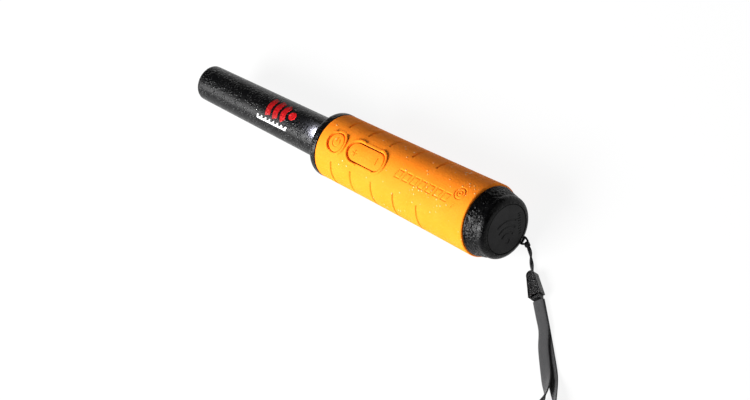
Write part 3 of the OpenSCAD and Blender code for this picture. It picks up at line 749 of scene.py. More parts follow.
def key_pad(centre, length, width, symbol, floor_z):
    margin, step, below = 0.6 * MM, 0.2 * MM, 3 * MM
    along = np.arange(centre - length / 2 - margin, centre + length / 2 + margin, step)
    half = (width / 2 + margin) / grip_front_r
    angles = np.arange(-half, half, step / grip_front_r)
    outline = (centre, length, width)
    sheet = wrap("pad", along, angles, lambda x, s, a: grip_r(x) + key_height(x, s, *outline, symbol))
    edit(sheet)
    bpy.ops.mesh.select_all(action="SELECT")
    bpy.ops.mesh.extrude_region_move(TRANSFORM_OT_translate={"value": (0, 0, -6 * MM)})
    bpy.ops.transform.resize(value=(1, 1, 0), center_override=(0, 0, floor_z - below))
    bpy.ops.object.mode_set(mode="OBJECT")
    close(sheet, "pad")
    cut(sheet, prism(*outline, floor_z, axis_z + 30 * MM), "INTERSECT")
    return sheet


def stem(centre, low, top, radius=1.7 * MM):
    edge = 0.35 * MM
    profile = [(0, low), (radius - edge, low), (radius, low + edge), (radius, top - edge)]
    profile += arc_points(radius + edge, top - edge, edge, 180, 90, 5) + [(0, top)]
    return turn(profile, 40, (centre, 0, 0), (0, 0, 1), (1, 0, 0))


press_travel, rest_gap, stem_sunk = 0.7 * MM, 0.15 * MM, 0.3 * MM
power_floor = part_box("power_boot")[1].z + press_travel + rest_gap
power_pad = key_pad(power_x, power_d, power_d, power_symbol, power_floor)
cut(power_pad, stem(power_x, power_low.z, power_floor + stem_sunk), "UNION")
close(power_pad, "power_key_pad", 40)
tell(power_pad)
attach(power_pad, "power_key")
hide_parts("power_key")

# %% Two-way key
rocker_swing, stem_off = math.radians(2.5), 9 * MM
shell_top = axis_z + grip_r(rocker_x + rocker_len / 2) - grip_wall
rocker_floor = shell_top + math.sin(rocker_swing) * rocker_len / 2 + 0.2 * MM
rocker_pad = key_pad(rocker_x, rocker_len, rocker_w, two_way_symbol, rocker_floor)
for side in (-1, 1):
    rocker_stem = stem(rocker_x + side * stem_off, rocker_low.z, rocker_floor + stem_sunk)
    cut(rocker_pad, rocker_stem, "UNION")
deselect()
bpy.ops.mesh.primitive_cube_add(size=1, location=(rocker_x, 0, rocker_floor - 1.4 * MM))
lug = bpy.context.object
lug.scale = (3.6 * MM, 7.4 * MM, 3.6 * MM)
bpy.ops.object.transform_apply(location=True, scale=True)
modify(lug, "BEVEL", width=0.5 * MM, segments=3)
cut(rocker_pad, lug, "UNION")
pin_low, pin_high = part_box("rocker_pin")
pin_z = (pin_low.z + pin_high.z) / 2
across = (math.pi / 2, 0, 0)
cut(rocker_pad, rod(0.8 * MM, 12 * MM, (rocker_x, 0, pin_z), across))
close(rocker_pad, "two_way_key_pad", 40)
tell(rocker_pad)
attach(rocker_pad, "rocker_key")
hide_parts("rocker_key")

# %% [markdown]
# ## The probe tube
# The tube is turned: a closed tip with a small rounded edge, a slightly tapered wall, and a
# fillet that sweeps out into the shoulder in front of the grip. Spinning the wall's whole
# section, outside and inside, gives a closed shell in one step. A drilled pocket above the
# fillet takes the torch's lens.

# %% Turn the tube
tip_corner, root_fillet, shoulder_corner = 2 * MM, 2.4 * MM, 4.2 * MM
bore_root_r, bore_tip_r, tip_wall = 10.5 * MM, 8.8 * MM, 2.4 * MM
spigot_r, spigot_wall, spigot_len, rim_edge = 15 * MM, 1.5 * MM, 6 * MM, 0.4 * MM
collar_x = grip_front - 0.02 * MM


def probe_r(x):
    return probe_tip_r + (probe_root_r - probe_tip_r) * (x - tip_x) / (shoulder_x - tip_x)


profile = [(0, tip_x)]
profile += arc_points(probe_tip_r - tip_corner, tip_x + tip_corner, tip_corner, -90, 0, 10)
for i in range(1, 30):
    x = tip_x + tip_corner + i / 30 * (shoulder_x - root_fillet - tip_x - tip_corner)
    profile.append((probe_r(x), x))
profile += arc_points(probe_root_r + root_fillet, shoulder_x - root_fillet, root_fillet, 180, 90, 12)
corner_x = shoulder_x + shoulder_corner
profile += arc_points(shoulder_r - shoulder_corner, corner_x, shoulder_corner, -90, 0, 14)
profile += [
    (shoulder_r, grip_front - rim_edge), (shoulder_r - rim_edge, collar_x), (spigot_r, collar_x),
    (spigot_r, grip_front + spigot_len - rim_edge), (spigot_r - rim_edge, grip_front + spigot_len),
    (spigot_r - spigot_wall, grip_front + spigot_len),
    (spigot_r - spigot_wall, grip_front - 1 * MM), (bore_root_r, grip_front - 4 * MM),
    (bore_root_r, shoulder_x), (bore_tip_r, tip_x + tip_wall), (0, tip_x + tip_wall),
]
probe = turn(profile, 160)
lens_low, lens_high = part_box("torch_lens")
lens_z = (lens_low.z + lens_high.z) / 2
pocket_x, pocket_len = shoulder_x - root_fillet - 0.6 * MM, 12 * MM
pocket_middle = (pocket_x + pocket_len / 2, 0, lens_z)
cut(probe, rod(1.95 * MM, pocket_len, pocket_middle, (0, math.pi / 2, 0), sides=64))
close(probe, "probe_tube_moulding", 35)
tell(probe)
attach(probe, "housing")
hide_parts("probe_tube")

# %% [markdown]
# ## The printed mark
# A red mark and a white scale are printed on the probe near its root. Here the mark is a plain
# one: a dot with three waves, and a ruler of ticks under it. Print has almost no thickness,
# so each patch is a fine grid in the outline of its stroke, wrapped onto the tapered tube
# three hundredths of a millimetre proud of it.

# %% Wrapped print
def printed(name, outlines, proud=0.03 * MM, columns=6):
    """Strips of quads; each outline is a list of (inner, outer) pairs of (x, s) places."""
    mesh = bmesh.new()
    for pairs in outlines:
        rows = []
        for start, end in pairs:
            row = []
            for k in range(columns + 1):
                x = start[0] + (end[0] - start[0]) * k / columns
                s = start[1] + (end[1] - start[1]) * k / columns
                r, a = probe_r(x) + proud, s / probe_r(x)
                row.append(mesh.verts.new((x, -r * math.sin(a), axis_z + r * math.cos(a))))
            rows.append(row)
        for row, following in zip(rows, rows[1:]):
            for k in range(columns):
                mesh.faces.new((row[k], row[k + 1], following[k + 1], following[k]))
    piece = set_down(mesh, name)
    modify(piece, "SOLIDIFY", thickness=0.05 * MM, offset=0)
    return tell(close(piece, name, 40))


def ring_strip(cx, cs, inner, outer, start, end, steps=28):
    angles = [math.radians(start + (end - start) * i / steps) for i in range(steps + 1)]
    return [((cx - inner * math.cos(a), cs + inner * math.sin(a)),
             (cx - outer * math.cos(a), cs + outer * math.sin(a))) for a in angles]


mark_x, mark_s = -45.2 * MM, -2.6 * MM
waves = [ring_strip(mark_x, mark_s, 0.02 * MM, 2.7 * MM, 0, 360)]
for inner, spread in ((5.2, 44), (11.2, 26), (17.2, 17.5)):
    waves.append(ring_strip(mark_x, mark_s, inner * MM, (inner + 3.9) * MM, -spread, spread))
red_mark = printed("printed_waves", waves)
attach(red_mark, "housing")

ruler_start, ruler_end, ruler_low = -71.2 * MM, -46.6 * MM, 7.3 * MM
bar_h, tick_h, tick_w, tick_count = 1.1 * MM, 2.4 * MM, 0.5 * MM, 8
ticks = []
for i in range(tick_count):
    x = ruler_start + (ruler_end - ruler_start) * i / (tick_count - 1)
    edges = (x - tick_w, x + tick_w)
    ticks.append([((edge, ruler_low), (edge, ruler_low - tick_h)) for edge in edges])
bar_ends = (ruler_start - tick_w, ruler_end + tick_w)
ticks.append([((x, ruler_low - bar_h), (x, ruler_low)) for x in bar_ends])
white_scale = printed("printed_ruler", ticks)
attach(white_scale, "housing")

# %% [markdown]
# ## The battery cap
# The cap screws onto the neck. It is turned from one section: a flank that narrows a little
# towards the rim, a fully rounded rim, a shallow seat for the face disc, and the bore inside.
# Its flank is coarsely textured for grip, which shows in the outline, so the texture is real:
# the flank's points are pressed in by a crumpled noise that fades out towards the rim.

# %% Turn the cap
disc_low, disc_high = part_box("cap_disc")
disc_r = (disc_high.z - disc_low.z) / 2
disc_t = disc_high.x - disc_low.x
cap_bore_r, cap_corner = 17.3 * MM, 3.8 * MM
cap_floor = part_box("handle_shell")[1].x + 0.4 * MM
flank_end = cap_end - cap_corner
flank_start, flank_steps = cap_low.x + 0.9 * MM, 39
flank = []
for i in range(flank_steps + 1):
    share = i / flank_steps
    r = cap_front_r + (cap_rim_r - cap_front_r) * share
    flank.append((r, flank_start + share * (flank_end - flank_start)))
mouth_r, seat_r, lip = 19 * MM, disc_r + 0.2 * MM, 0.6 * MM
relief_r = mouth_r - 0.35 * MM
profile = [(mouth_r, cap_low.x), (cap_front_r - lip, cap_low.x)]
profile += arc_points(cap_front_r - lip, cap_low.x + lip, lip, -90, 0, 5)[1:] + flank
profile += arc_points(cap_rim_r - cap_corner, flank_end, cap_corner, 0, 90, 14)[1:]
profile += [
    (seat_r + 0.5 * MM, cap_end), (seat_r + 0.15 * MM, cap_end - 0.12 * MM),
    (seat_r, cap_end - 0.5 * MM), (seat_r, cap_end - disc_t), (0, cap_end - disc_t),
    (0, cap_floor), (cap_bore_r, cap_floor), (cap_bore_r, cap_low.x + 1.6 * MM),
    (relief_r, cap_low.x + 1.4 * MM), (relief_r, cap_low.x + 0.3 * MM), (mouth_r, cap_low.x),
]
cap = turn(profile, 240)
texture_start, texture_end, texture_depth = cap_low.x + 0.8 * MM, cap_low.x + 10.2 * MM, 0.42 * MM
for vertex in cap.data.vertices:
    co = vertex.co
    out = Vector((0, co.y, co.z - axis_z))
    if out.length < cap_rim_r - 1.2 * MM or not texture_start < co.x < texture_end:
        continue
    fade = min(1, (co.x - texture_start) / (0.8 * MM), (texture_end - co.x) / (1.6 * MM))
    crumple = 1 - abs(noise.fractal(co * 480, 0.8, 2.2, 4)) * 1.6
    vertex.co -= out.normalized() * fade * texture_depth * max(0, min(1, crumple))
print("cap turned,", len(cap.data.vertices), "vertices")

# %% Eye for the lanyard, and the stud that the battery pad turns on
eye_r, eye_wall, eye_w = 1.3 * MM, 1.1 * MM, 2.4 * MM
web = rod(eye_r + eye_wall, eye_w, eye, across)
edit(web)
pick(web, lambda co: co.z > eye.z + hair)
bpy.ops.transform.resize(value=(1, 1, 0), center_override=(0, 0, eye.z + 3.6 * MM))
bpy.ops.object.mode_set(mode="OBJECT")
modify(web, "BEVEL", width=0.35 * MM, segments=3, **corners)
cut(cap, web, "UNION")
cut(cap, rod(eye_r, 5.2 * MM, eye, across))
stud_r, stud_edge = 2.5 * MM, 0.6 * MM
stud_tip, stud_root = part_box("battery_pad")[0].x + 0.8 * MM, cap_floor + 0.3 * MM
stud_profile = [(0, stud_tip), (stud_r - stud_edge, stud_tip), (stud_r, stud_tip + stud_edge),
                (stud_r, stud_root), (0, stud_root)]
cut(cap, turn(stud_profile, 48), "UNION")
close(cap, "battery_cap_moulding", 35)
tell(cap)
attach(cap, "cap")
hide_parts("battery_cap")

# %% [markdown]
# ## The face disc
# The disc is a thin satin plate let into the cap's face. It carries a shallow sunk device: a dot,
# three waves and a row of ticks, as plain as the print on the probe. The disc is turned from
# many rings, so that the height rules of the sleeve can round its rim and sink the device.

# %% Disc with a sunk device
def disc_depth(y, z):
    """Depth of the device at a place on the disc's face, y and z from its centre."""
    across = (y + z) / math.sqrt(2)
    along = (z - y) / math.sqrt(2)
    centre = (-7.4 * MM, 0)
    r = np.hypot(across - centre[0], along - centre[1])
    a = np.abs(np.degrees(np.arctan2(along, across - centre[0])))
    depth = soft(r, 1.9 * MM, 0.3 * MM)
    for inner, spread in ((4.4, 58), (8.2, 47), (12, 36)):
        band = soft(r - (inner + 0.75) * MM, 0.75 * MM, 0.3 * MM) * soft(a, spread, 3)
        depth = np.maximum(depth, band)
    for i in range(9):
        place = (-6.4 + 1.6 * i) * MM
        tick = bar(across, along, place, -10.6 * MM, place, -8.8 * MM)
        depth = np.maximum(depth, soft(tick, 0.35 * MM, 0.2 * MM))
    return depth


inner_rings = np.linspace(0.3, disc_r / MM - 0.45, 74)
rings = np.concatenate([inner_rings, disc_r / MM - np.array([0.3, 0.14, 0.03, 0])]) * MM
disc_back = cap_end - disc_t + 0.02 * MM
disc_profile = [(0, cap_end)] + [(r, cap_end) for r in rings] + [(disc_r, disc_back), (0, disc_back)]
disc = turn(disc_profile, 240)
places = np.empty(len(disc.data.vertices) * 3)
disc.data.vertices.foreach_get("co", places)
places = places.reshape(-1, 3)
y, z = places[:, 1], places[:, 2] - axis_z
face = places[:, 0] > cap_end - hair
edge_drop = rounding(disc_r - np.hypot(y, z), 0.4 * MM)
let_in, device_depth = 0.05 * MM, 0.3 * MM
places[:, 0] -= np.where(face, let_in + edge_drop + device_depth * disc_depth(y, z), 0)
disc.data.vertices.foreach_set("co", places.ravel())
close(disc, "cap_face_disc", 40)
tell(disc)
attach(disc, "cap")
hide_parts("cap_disc")

# %% [markdown]
# ## The thread on the neck
# The neck carries a two-turn thread, seen only when the cap is backed off. A low ridge with a
# round crest follows a helix, and it fades into the neck at both ends.

# %% Thread
thread_pitch, thread_turns, turn_steps = 3 * MM, 2, 64
neck_r, thread_start, thread_steps = 17 * MM, grip_rear + 2.2 * MM, turn_steps * thread_turns
thread_path = []
for i in range(thread_steps + 1):
    a = 2 * math.pi * i / turn_steps
    lift = min(1, i / 10, (thread_steps - i) / 10)
    r = neck_r - 0.42 * MM + 0.15 * MM * lift
    x = thread_start + thread_pitch * i / turn_steps
    thread_path.append(Vector((x, r * math.sin(a), axis_z + r * math.cos(a))))
neck_thread = sweep("neck_thread_ridge", thread_path, circle(0.5 * MM, 10))
tell(neck_thread)
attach(neck_thread, "housing")

# %% [markdown]
# ## Finishes
# Every finish is a small network of nodes on the piece's own coordinates, in metres, so that a
# scale of 1000 means one millimetre. A few helpers add the nodes that all of them need: a
# noise, a change of range, a mix of two colours, a heap of weighted layers, and a bump.

# %% Node helpers
def shader_of(finish):
    return finish.node_tree.nodes["Principled BSDF"]


def settle(finish, **settings):
    """Sets sockets of the shader; an underscore in a name stands for a space."""
    for key, value in settings.items():
        shader_of(finish).inputs[key.replace("_", " ")].default_value = value


def new_finish(name, colour, roughness, metallic=0.0, specular=0.5, coat=0.0):
    finish = bpy.data.materials.new(name)
    finish.use_nodes = True
    settle(
        finish, Base_Color=(*colour, 1), Roughness=roughness, Metallic=metallic,
        Specular_IOR_Level=specular, Coat_Weight=coat,
    )
    return finish


def node(finish, kind, inputs=(), **settings):
    """Adds a node; inputs pairs a socket with a number or with another node's output."""
    made = finish.node_tree.nodes.new(kind)
    for key, value in settings.items():
        setattr(made, key, value)
    for socket, value in dict(inputs).items():
        if isinstance(value, bpy.types.NodeSocket):
            finish.node_tree.links.new(value, made.inputs[socket])
        else:
            made.inputs[socket].default_value = value
    return made


def place_of(finish, stretch=(1, 1, 1)):
    where = node(finish, "ShaderNodeTexCoord").outputs["Object"]
    return node(finish, "ShaderNodeMapping", {"Vector": where, "Scale": stretch}).outputs["Vector"]


def noise_of(finish, per_metre, detail=3.0, stretch=(1, 1, 1), rough=0.55):
    where = place_of(finish, stretch)
    inputs = {"Vector": where, "Scale": per_metre, "Detail": detail, "Roughness": rough}
    return node(finish, "ShaderNodeTexNoise", inputs).outputs["Fac"]


def remap(finish, value, low, high, to_low=0.0, to_high=1.0):
    inputs = {"Value": value, "From Min": low, "From Max": high, "To Min": to_low, "To Max": to_high}
    return node(finish, "ShaderNodeMapRange", inputs).outputs["Result"]


def sums(finish, operation, a, b):
    return node(finish, "ShaderNodeMath", {0: a, 1: b}, operation=operation).outputs["Value"]


def blend_colour(finish, share, first, second):
    colours = [c if isinstance(c, bpy.types.NodeSocket) else (*c, 1) for c in (first, second)]
    inputs = {"Factor": share, 6: colours[0], 7: colours[1]}
    return node(finish, "ShaderNodeMix", inputs, data_type="RGBA").outputs[2]


def feed(finish, socket, value):
    finish.node_tree.links.new(value, shader_of(finish).inputs[socket])


def heap(finish, *layers):
    """Adds up layers, each a socket or a pair of a socket and its weight."""
    total = None
    for layer in layers:
        if isinstance(layer, tuple):
            layer = sums(finish, "MULTIPLY", *layer)
        total = layer if total is None else sums(finish, "ADD", total, layer)
    return total


def bump(finish, height, distance, strength=1.0):
    inputs = {"Height": height, "Distance": distance, "Strength": strength}
    feed(finish, "Normal", node(finish, "ShaderNodeBump", inputs).outputs["Normal"])


def dress(piece, finish):
    piece.data.materials.clear()
    piece.data.materials.append(finish)


# %% [markdown]
# Water stands in beads on the whole tool. A cell pattern gives each bead its own cell: its
# distance from the cell's middle is turned into a dome, a random number of each cell decides
# whether there is a bead at all, and a broad noise gathers the beads into patches.

# %% Beads of water as a height
def beads(finish, per_metre, share, size=0.42, patches=60):
    where = place_of(finish)
    cells = node(finish, "ShaderNodeTexVoronoi", {"Vector": where, "Scale": per_metre, "Randomness": 1.0})
    dome = remap(finish, cells.outputs["Distance"], size, 0.0)
    dome = sums(finish, "POWER", dome, 0.6)
    lot = node(finish, "ShaderNodeSeparateColor", {"Color": cells.outputs["Color"]}).outputs["Red"]
    patch = remap(finish, noise_of(finish, patches, 2.0), 0.35, 0.65, share - 0.25, share + 0.2)
    chosen = node(finish, "ShaderNodeMath", {0: lot, 1: patch}, operation="LESS_THAN").outputs["Value"]
    return sums(finish, "MULTIPLY", dome, chosen)


print("node helpers and bead pattern ready")

# %% [markdown]
# The sleeve is dull, saturated yellow rubber, a little translucent, so its shaded side turns a
# warm orange and not brown. Its base holds almost no blue. A fine grain and a coarser one make
# its stipple, and a few scattered drops are glossier than the rubber round them. Their colour
# is also painted paler, which is a painted highlight on each drop.

# %% Soft yellow rubber of the sleeve and keys
yellow = new_finish("yellow_soft_rubber", (0.93, 0.24, 0.008), 0.65, specular=0.03)
tone = remap(yellow, noise_of(yellow, 90, 4.0), 0.3, 0.7)
rubber = blend_colour(yellow, tone, (0.93, 0.228, 0.012), (0.95, 0.252, 0.018))
grain = noise_of(yellow, 1900, 4.0, rough=0.7)
coarse = noise_of(yellow, 900, 2.0)
drops = beads(yellow, 460, 0.2, 0.3, 40)
# Painted highlight: the drops' base colour is painted paler, in addition to their real gloss and bump.
painted_drop_highlight = sums(yellow, "MULTIPLY", drops, 0.8)
feed(yellow, "Base Color", blend_colour(yellow, painted_drop_highlight, rubber, (1, 0.6, 0.25)))
bump(yellow, heap(yellow, (grain, 0.5), (coarse, 0.9), (drops, 2.2)), 0.2 * MM, 0.9)
feed(yellow, "Roughness", remap(yellow, drops, 0.0, 0.4, 0.62, 0.1))
settle(yellow, Subsurface_Weight=0.05, Subsurface_Radius=(0.0012, 0.0005, 0.0001))
print("finish:", yellow.name)

# %% [markdown]
# The probe is near-black plastic covered in fine drops. Two sizes of beads over a very fine
# noise break up the lamp's reflection into sparks, and the drops are glossier than the plastic.

# %% Wet black plastic of the probe
wet_black = new_finish("wet_black_plastic", (0.0015, 0.0015, 0.0018), 0.3, specular=0.18)
drops = beads(wet_black, 620, 0.72, 0.5, 70)
fine_drops = beads(wet_black, 1300, 0.5, 0.5, 120)
spark = noise_of(wet_black, 2600, 2.0, rough=0.7)
bump(wet_black, heap(wet_black, drops, (fine_drops, 0.3), (spark, 0.03)), 0.3 * MM, 0.9)
feed(wet_black, "Roughness", remap(wet_black, drops, 0.0, 0.5, 0.34, 0.1))
print("finish:", wet_black.name)

# %% [markdown]
# The cap's flank is coarser than the probe. Its big folds are real shape already, so the finish
# adds only small folds and drops. The ferrule has a pebbled finish of its own, and the face
# disc is plain satin plastic, which shows its sunk device best.

# %% Coarse plastic of the cap, pebbled ferrule and satin disc
coarse_black = new_finish("coarse_black_plastic", (0.0012, 0.0012, 0.0015), 0.25, specular=0.14)
drops = beads(coarse_black, 520, 0.6, 0.5, 90)
folds = noise_of(coarse_black, 620, 5.0, rough=0.65)
bump(coarse_black, heap(coarse_black, folds, (drops, 0.5)), 0.35 * MM, 0.8)
patchy = noise_of(coarse_black, 300, 3.0)
feed(coarse_black, "Roughness", remap(coarse_black, patchy, 0.35, 0.65, 0.16, 0.45))

ferrule_black = new_finish("textured_ferrule_plastic", (0.003, 0.003, 0.0035), 0.35, specular=0.3)
pebbles = noise_of(ferrule_black, 1500, 4.0, rough=0.7)
drops = beads(ferrule_black, 900, 0.6, 0.5, 200)
bump(ferrule_black, heap(ferrule_black, pebbles, drops), 0.3 * MM, 0.8)
patchy = noise_of(ferrule_black, 900, 3.0)
feed(ferrule_black, "Roughness", remap(ferrule_black, patchy, 0.35, 0.65, 0.22, 0.5))

satin_black = new_finish("satin_black_plastic", (0.004, 0.004, 0.0045), 0.5, specular=0.2)
bump(satin_black, noise_of(satin_black, 3200, 3.0), 0.03 * MM, 0.5)
patchy = noise_of(satin_black, 160, 3.0)
feed(satin_black, "Roughness", remap(satin_black, patchy, 0.3, 0.7, 0.44, 0.58))
print("finishes:", coarse_black.name, ferrule_black.name, satin_black.name)

# %% [markdown]
# The inks lie on the wet probe, so they carry its drops too: as many on the red, and fewer on
# the white. A noise mottles both colours.

# %% Printing inks
red_ink = new_finish("red_ink", (0.3, 0.004, 0.005), 0.4, specular=0.2)
drops = beads(red_ink, 620, 0.72, 0.5, 70)
tone = remap(red_ink, noise_of(red_ink, 900, 3.0), 0.35, 0.65)
feed(red_ink, "Base Color", blend_colour(red_ink, tone, (0.2, 0.003, 0.004), (0.38, 0.005, 0.007)))
bump(red_ink, drops, 0.2 * MM, 0.7)
white_ink = new_finish("white_ink", (0.82, 0.82, 0.82), 0.45)
tone = noise_of(white_ink, 1200, 3.0)
feed(white_ink, "Base Color", blend_colour(white_ink, tone, (0.75, 0.75, 0.75), (0.9, 0.9, 0.9)))
bump(white_ink, beads(white_ink, 620, 0.5, 0.5, 70), 0.15 * MM, 0.6)
print("finishes:", red_ink.name, white_ink.name)

# %% [markdown]
# The webbing's weave follows its own UV map, which counts in webbing widths. Two waves at
# right angles, multiplied together, make the warp and weft. The cord is braided, so its finish
# has slanting bands.

# %% Webbing and braid
def ribs(finish, along, per_width):
    """A sine wave that rises and falls along a coordinate."""
    turned = sums(finish, "MULTIPLY", along, per_width)
    return node(finish, "ShaderNodeMath", {0: turned}, operation="SINE").outputs["Value"]


webbing = new_finish("black_webbing", (0.022, 0.022, 0.024), 0.8, specular=0.25)
uv = node(webbing, "ShaderNodeUVMap", uv_map="weave").outputs["UV"]
split = node(webbing, "ShaderNodeSeparateXYZ", {"Vector": uv})
warp = ribs(webbing, split.outputs["X"], 88.0)
weft = ribs(webbing, split.outputs["Y"], 62.0)
weave = sums(webbing, "MULTIPLY", warp, weft)
bump(webbing, heap(webbing, weave, (noise_of(webbing, 3000, 3.0), 0.5)), 0.12 * MM, 0.9)
# Painted shade and highlight: the colour follows the weave's height, darker in its hollows and lighter on its
# crests.
tone = remap(webbing, weave, -1.0, 1.0)
feed(webbing, "Base Color", blend_colour(webbing, tone, (0.012, 0.012, 0.013), (0.045, 0.045, 0.048)))
settle(webbing, Sheen_Weight=0.3)

braid = new_finish("black_braid", (0.014, 0.014, 0.015), 0.7, specular=0.3)
wave_inputs = {"Vector": place_of(braid), "Scale": 420.0, "Distortion": 1.5, "Detail": 1.0}
wave = node(braid, "ShaderNodeTexWave", wave_inputs, bands_direction="DIAGONAL")
twist = wave.outputs["Fac"]
bump(braid, heap(braid, twist, noise_of(braid, 3500, 2.0)), 0.12 * MM, 0.8)
# Painted shade and highlight: the colour follows the bands' height, darker in the grooves between strands and
# lighter on their crests.
feed(braid, "Base Color", blend_colour(braid, twist, (0.008, 0.008, 0.009), (0.03, 0.03, 0.032)))
print("finishes:", webbing.name, braid.name)

# %% [markdown]
# ## Finishes of the works inside
# The rest of the pieces sit inside the handle and keep the frame's own shapes. They are seen
# when someone takes the tool apart, so each still gets what its stuff looks like. One recipe
# serves them: two tones mixed by a noise, a roughness that wanders, and a fine bump.

# %% One recipe for the inner pieces
def stuff(name, dark, light, rough, metallic=0.0, scale=400, grain_depth=0.03, stretch=(1, 1, 1), coat=0.0):
    made = new_finish(name, light, sum(rough) / 2, metallic, coat=coat)
    mottle = noise_of(made, scale, 4.0, stretch)
    feed(made, "Base Color", blend_colour(made, remap(made, mottle, 0.3, 0.7), dark, light))
    feed(made, "Roughness", remap(made, mottle, 0.3, 0.7, *rough))
    bump(made, noise_of(made, scale * 5, 3.0, stretch), grain_depth * MM, 0.6)
    return made


along_axis, across_axis = (0.08, 1, 1), (6, 0.6, 0.6)
inner_finishes = {
    "handle_shell": stuff("shell_black", (0.02, 0.02, 0.022), (0.035, 0.035, 0.038), (0.4, 0.55)),
    "rocker_pin": stuff("ground_steel", (0.5, 0.51, 0.53), (0.7, 0.71, 0.73), (0.15, 0.3),
                        1.0, 900, 0.01, (1, 0.1, 1)),
    "power_boot": stuff("boot_rubber", (0.02, 0.02, 0.02), (0.04, 0.04, 0.04), (0.65, 0.8)),
    "lens_seal": stuff("seal_rubber", (0.012, 0.012, 0.012), (0.03, 0.03, 0.03), (0.5, 0.7)),
    "ferrite_rod": stuff("ferrite", (0.05, 0.05, 0.055), (0.1, 0.1, 0.11), (0.45, 0.65), 0.2, 1200, 0.05),
    "coil_former": stuff("cream_nylon", (0.62, 0.57, 0.42), (0.74, 0.7, 0.55), (0.4, 0.55)),
    "transmit_coil": stuff("copper_wire", (0.35, 0.1, 0.03), (0.75, 0.3, 0.1), (0.2, 0.4),
                           0.9, 500, 0.12, across_axis),
    "tip_foam": stuff("grey_foam", (0.03, 0.03, 0.033), (0.12, 0.12, 0.13), (0.85, 0.95), 0, 1100, 0.3),
    "coil_leads": stuff("green_insulation", (0.02, 0.16, 0.05), (0.04, 0.26, 0.09), (0.35, 0.5)),
    "chassis_sled": stuff("sled_grey", (0.06, 0.064, 0.07), (0.1, 0.105, 0.11), (0.45, 0.6)),
    "chassis_screws": stuff("zinc_plate", (0.5, 0.5, 0.5), (0.75, 0.75, 0.73), (0.2, 0.4), 1.0, 700, 0.02),
    "circuit_board": stuff("solder_mask", (0.008, 0.07, 0.03), (0.015, 0.13, 0.05), (0.25, 0.35),
                           0, 260, 0.02, coat=0.3),
    "tact_switches": stuff("switch_black", (0.015, 0.015, 0.016), (0.03, 0.03, 0.032), (0.35, 0.5)),
    "switch_plungers": stuff("plunger_white", (0.68, 0.68, 0.66), (0.8, 0.8, 0.78), (0.35, 0.5)),
    "controller_chip": stuff("chip_epoxy", (0.012, 0.012, 0.014), (0.03, 0.03, 0.032), (0.5, 0.65)),
    "piezo_sounder": stuff("sounder_black", (0.015, 0.015, 0.016), (0.03, 0.03, 0.03), (0.4, 0.5)),
    "vibration_motor": stuff("drawn_can", (0.42, 0.43, 0.45), (0.62, 0.63, 0.65), (0.2, 0.35),
                             1.0, 800, 0.02, along_axis),
    "eccentric_weight": stuff("tungsten", (0.25, 0.25, 0.26), (0.42, 0.42, 0.44), (0.35, 0.5),
                              1.0, 900, 0.04),
    "battery_leads": stuff("red_insulation", (0.35, 0.01, 0.01), (0.6, 0.03, 0.02), (0.35, 0.5)),
    "contact_plate": stuff("plate_laminate", (0.012, 0.012, 0.014), (0.03, 0.03, 0.034), (0.3, 0.4),
                           coat=0.2),
    "contact_springs": stuff("plated_brass", (0.55, 0.38, 0.12), (0.8, 0.62, 0.28), (0.15, 0.3),
                             1.0, 700, 0.02),
    "battery_studs": stuff("nickel", (0.5, 0.5, 0.48), (0.74, 0.73, 0.7), (0.15, 0.3), 1.0, 800, 0.02),
    "neck_seal": stuff("o_ring", (0.01, 0.01, 0.01), (0.025, 0.025, 0.025), (0.3, 0.45)),
    "battery_pad": stuff("pad_foam", (0.025, 0.025, 0.03), (0.09, 0.09, 0.1), (0.85, 0.95), 0, 1000, 0.3),
}
same_as = {
    "rocker_boots": "power_boot", "receive_coil_front": "transmit_coil", "receive_coil_rear": "transmit_coil",
    "rear_foam": "tip_foam", "board_screws": "chassis_screws", "amplifier_chips": "controller_chip",
}
for name, finish in inner_finishes.items():
    dress(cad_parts[name], finish)
for name, model in same_as.items():
    dress(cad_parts[name], inner_finishes[model])
print("dressed", len(inner_finishes) + len(same_as), "inner nodes")

# %% [markdown]
# Three pieces inside need more than that recipe. The battery has a dark sleeve with a bright
# copper-coloured band at its contact end. The lens is clear, and both it and the torch's diode
# glow, because the torch is on.

# %% Battery sleeve, lens and diode
jacket = new_finish("battery_jacket", (0.03, 0.034, 0.04), 0.28, metallic=0.3)
place = node(jacket, "ShaderNodeTexCoord").outputs["Object"]
along = node(jacket, "ShaderNodeSeparateXYZ", {"Vector": place})
band_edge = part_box("battery_case")[0].x + 12 * MM
band = remap(jacket, along.outputs["X"], band_edge - 0.1 * MM, band_edge + 0.1 * MM)
feed(jacket, "Base Color", blend_colour(jacket, band, (0.62, 0.3, 0.1), (0.03, 0.034, 0.04)))
bump(jacket, noise_of(jacket, 1500, 3.0), 0.02 * MM, 0.5)
dress(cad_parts["battery_case"], jacket)

torch_white = (0.95, 0.97, 1.0, 1)
clear_lens = new_finish("clear_lens", (0.95, 0.97, 1.0), 0.06)
settle(clear_lens, Transmission_Weight=0.9, Emission_Color=torch_white, Emission_Strength=4)
bump(clear_lens, noise_of(clear_lens, 900, 2.0), 0.01 * MM, 0.3)
dress(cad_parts["torch_lens"], clear_lens)

led_resin = new_finish("led_resin", (0.9, 0.92, 0.95), 0.15)
settle(led_resin, Emission_Color=torch_white, Emission_Strength=6)
bump(led_resin, noise_of(led_resin, 1200, 2.0), 0.01 * MM, 0.3)
dress(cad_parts["torch_led"], led_resin)
print("finishes:", jacket.name, clear_lens.name, led_resin.name)

# %% [markdown]
# The outside pieces come last, each with its own finish. The thread is part of the shell's
# moulding, so it takes the shell's finish.

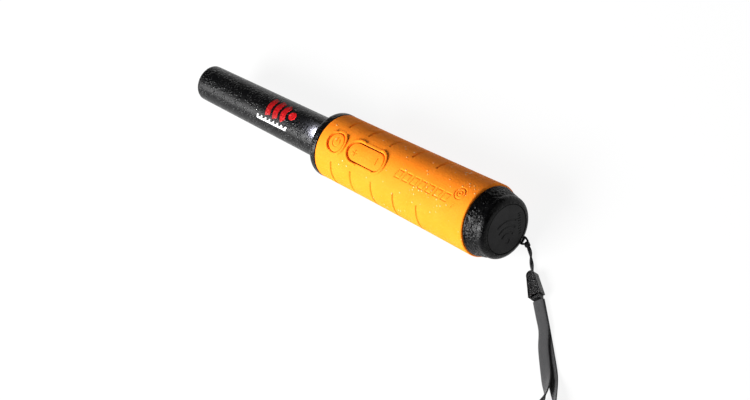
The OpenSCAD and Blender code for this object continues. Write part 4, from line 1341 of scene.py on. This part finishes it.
# %% Dress the new pieces
for piece, finish in (
    (sleeve, yellow), (power_pad, yellow), (rocker_pad, yellow), (probe, wet_black),
    (red_mark, red_ink), (white_scale, white_ink), (cap, coarse_black), (disc, satin_black),
    (neck_thread, inner_finishes["handle_shell"]), (lanyard_cord, braid), (lanyard_whipping, braid),
    (lanyard_ferrule, ferrule_black), (wrist_strap, webbing),
):
    dress(piece, finish)
print("dressed the outside")

# %% [markdown]
# ## Floor and light
# The tool lies on a plain floor that must look white without throwing light up into the black
# plastic, so it is a dark floor that glows evenly by itself. One large softbox on the key side
# lights the sleeve, a weak strip from behind picks out the far rims, a dim sky fills the rest,
# and a tiny lamp just above the probe's root gives the torch's glint on the wet tube.

# %% Studio
deselect()
bpy.ops.mesh.primitive_plane_add(size=8, location=(0, 0, 0))
floor = bpy.context.object
floor.name = "studio_floor"
floor_white = new_finish("floor_white", (0.06, 0.06, 0.06), 0.9, specular=0.1)
settle(floor_white, Emission_Color=(1, 1, 1, 1), Emission_Strength=0.9)
dress(floor, floor_white)

world = bpy.data.worlds.new("studio")
bpy.context.scene.world = world
world.use_nodes = True
sky = world.node_tree.nodes["Background"]
sky.inputs["Color"].default_value = (1, 1, 1, 1)
sky.inputs["Strength"].default_value = 0.06
bpy.context.scene.view_settings.view_transform = "Standard"


def softbox(name, target, direction, distance, size, power):
    """An area lamp that stands off from its target in a direction, and faces it."""
    data = bpy.data.lights.new(name, "AREA")
    data.shape = "RECTANGLE"
    data.size, data.size_y = size
    data.energy = power
    lamp = bpy.data.objects.new(name, data)
    bpy.context.scene.collection.objects.link(lamp)
    direction = Vector(direction).normalized()
    lamp.location = Vector(target) + direction * distance
    lamp.rotation_euler = direction.to_track_quat("Z", "Y").to_euler()


middle = (0, 0, axis_z)
torch_at = (shoulder_x - 4.2 * MM, 0, axis_z + probe_root_r + 1.9 * MM)
softbox("key_softbox", middle, (-0.45, -0.8, 0.8), 1.6, (1.3, 0.9), 84)
softbox("rim_strip", middle, (0.75, 0.5, 0.45), 1.4, (0.12, 0.5), 1)
softbox("torch_glow", torch_at, (0.35, 0, 1), 0.1 * MM, (1.2 * MM, 3.2 * MM), 0.14)
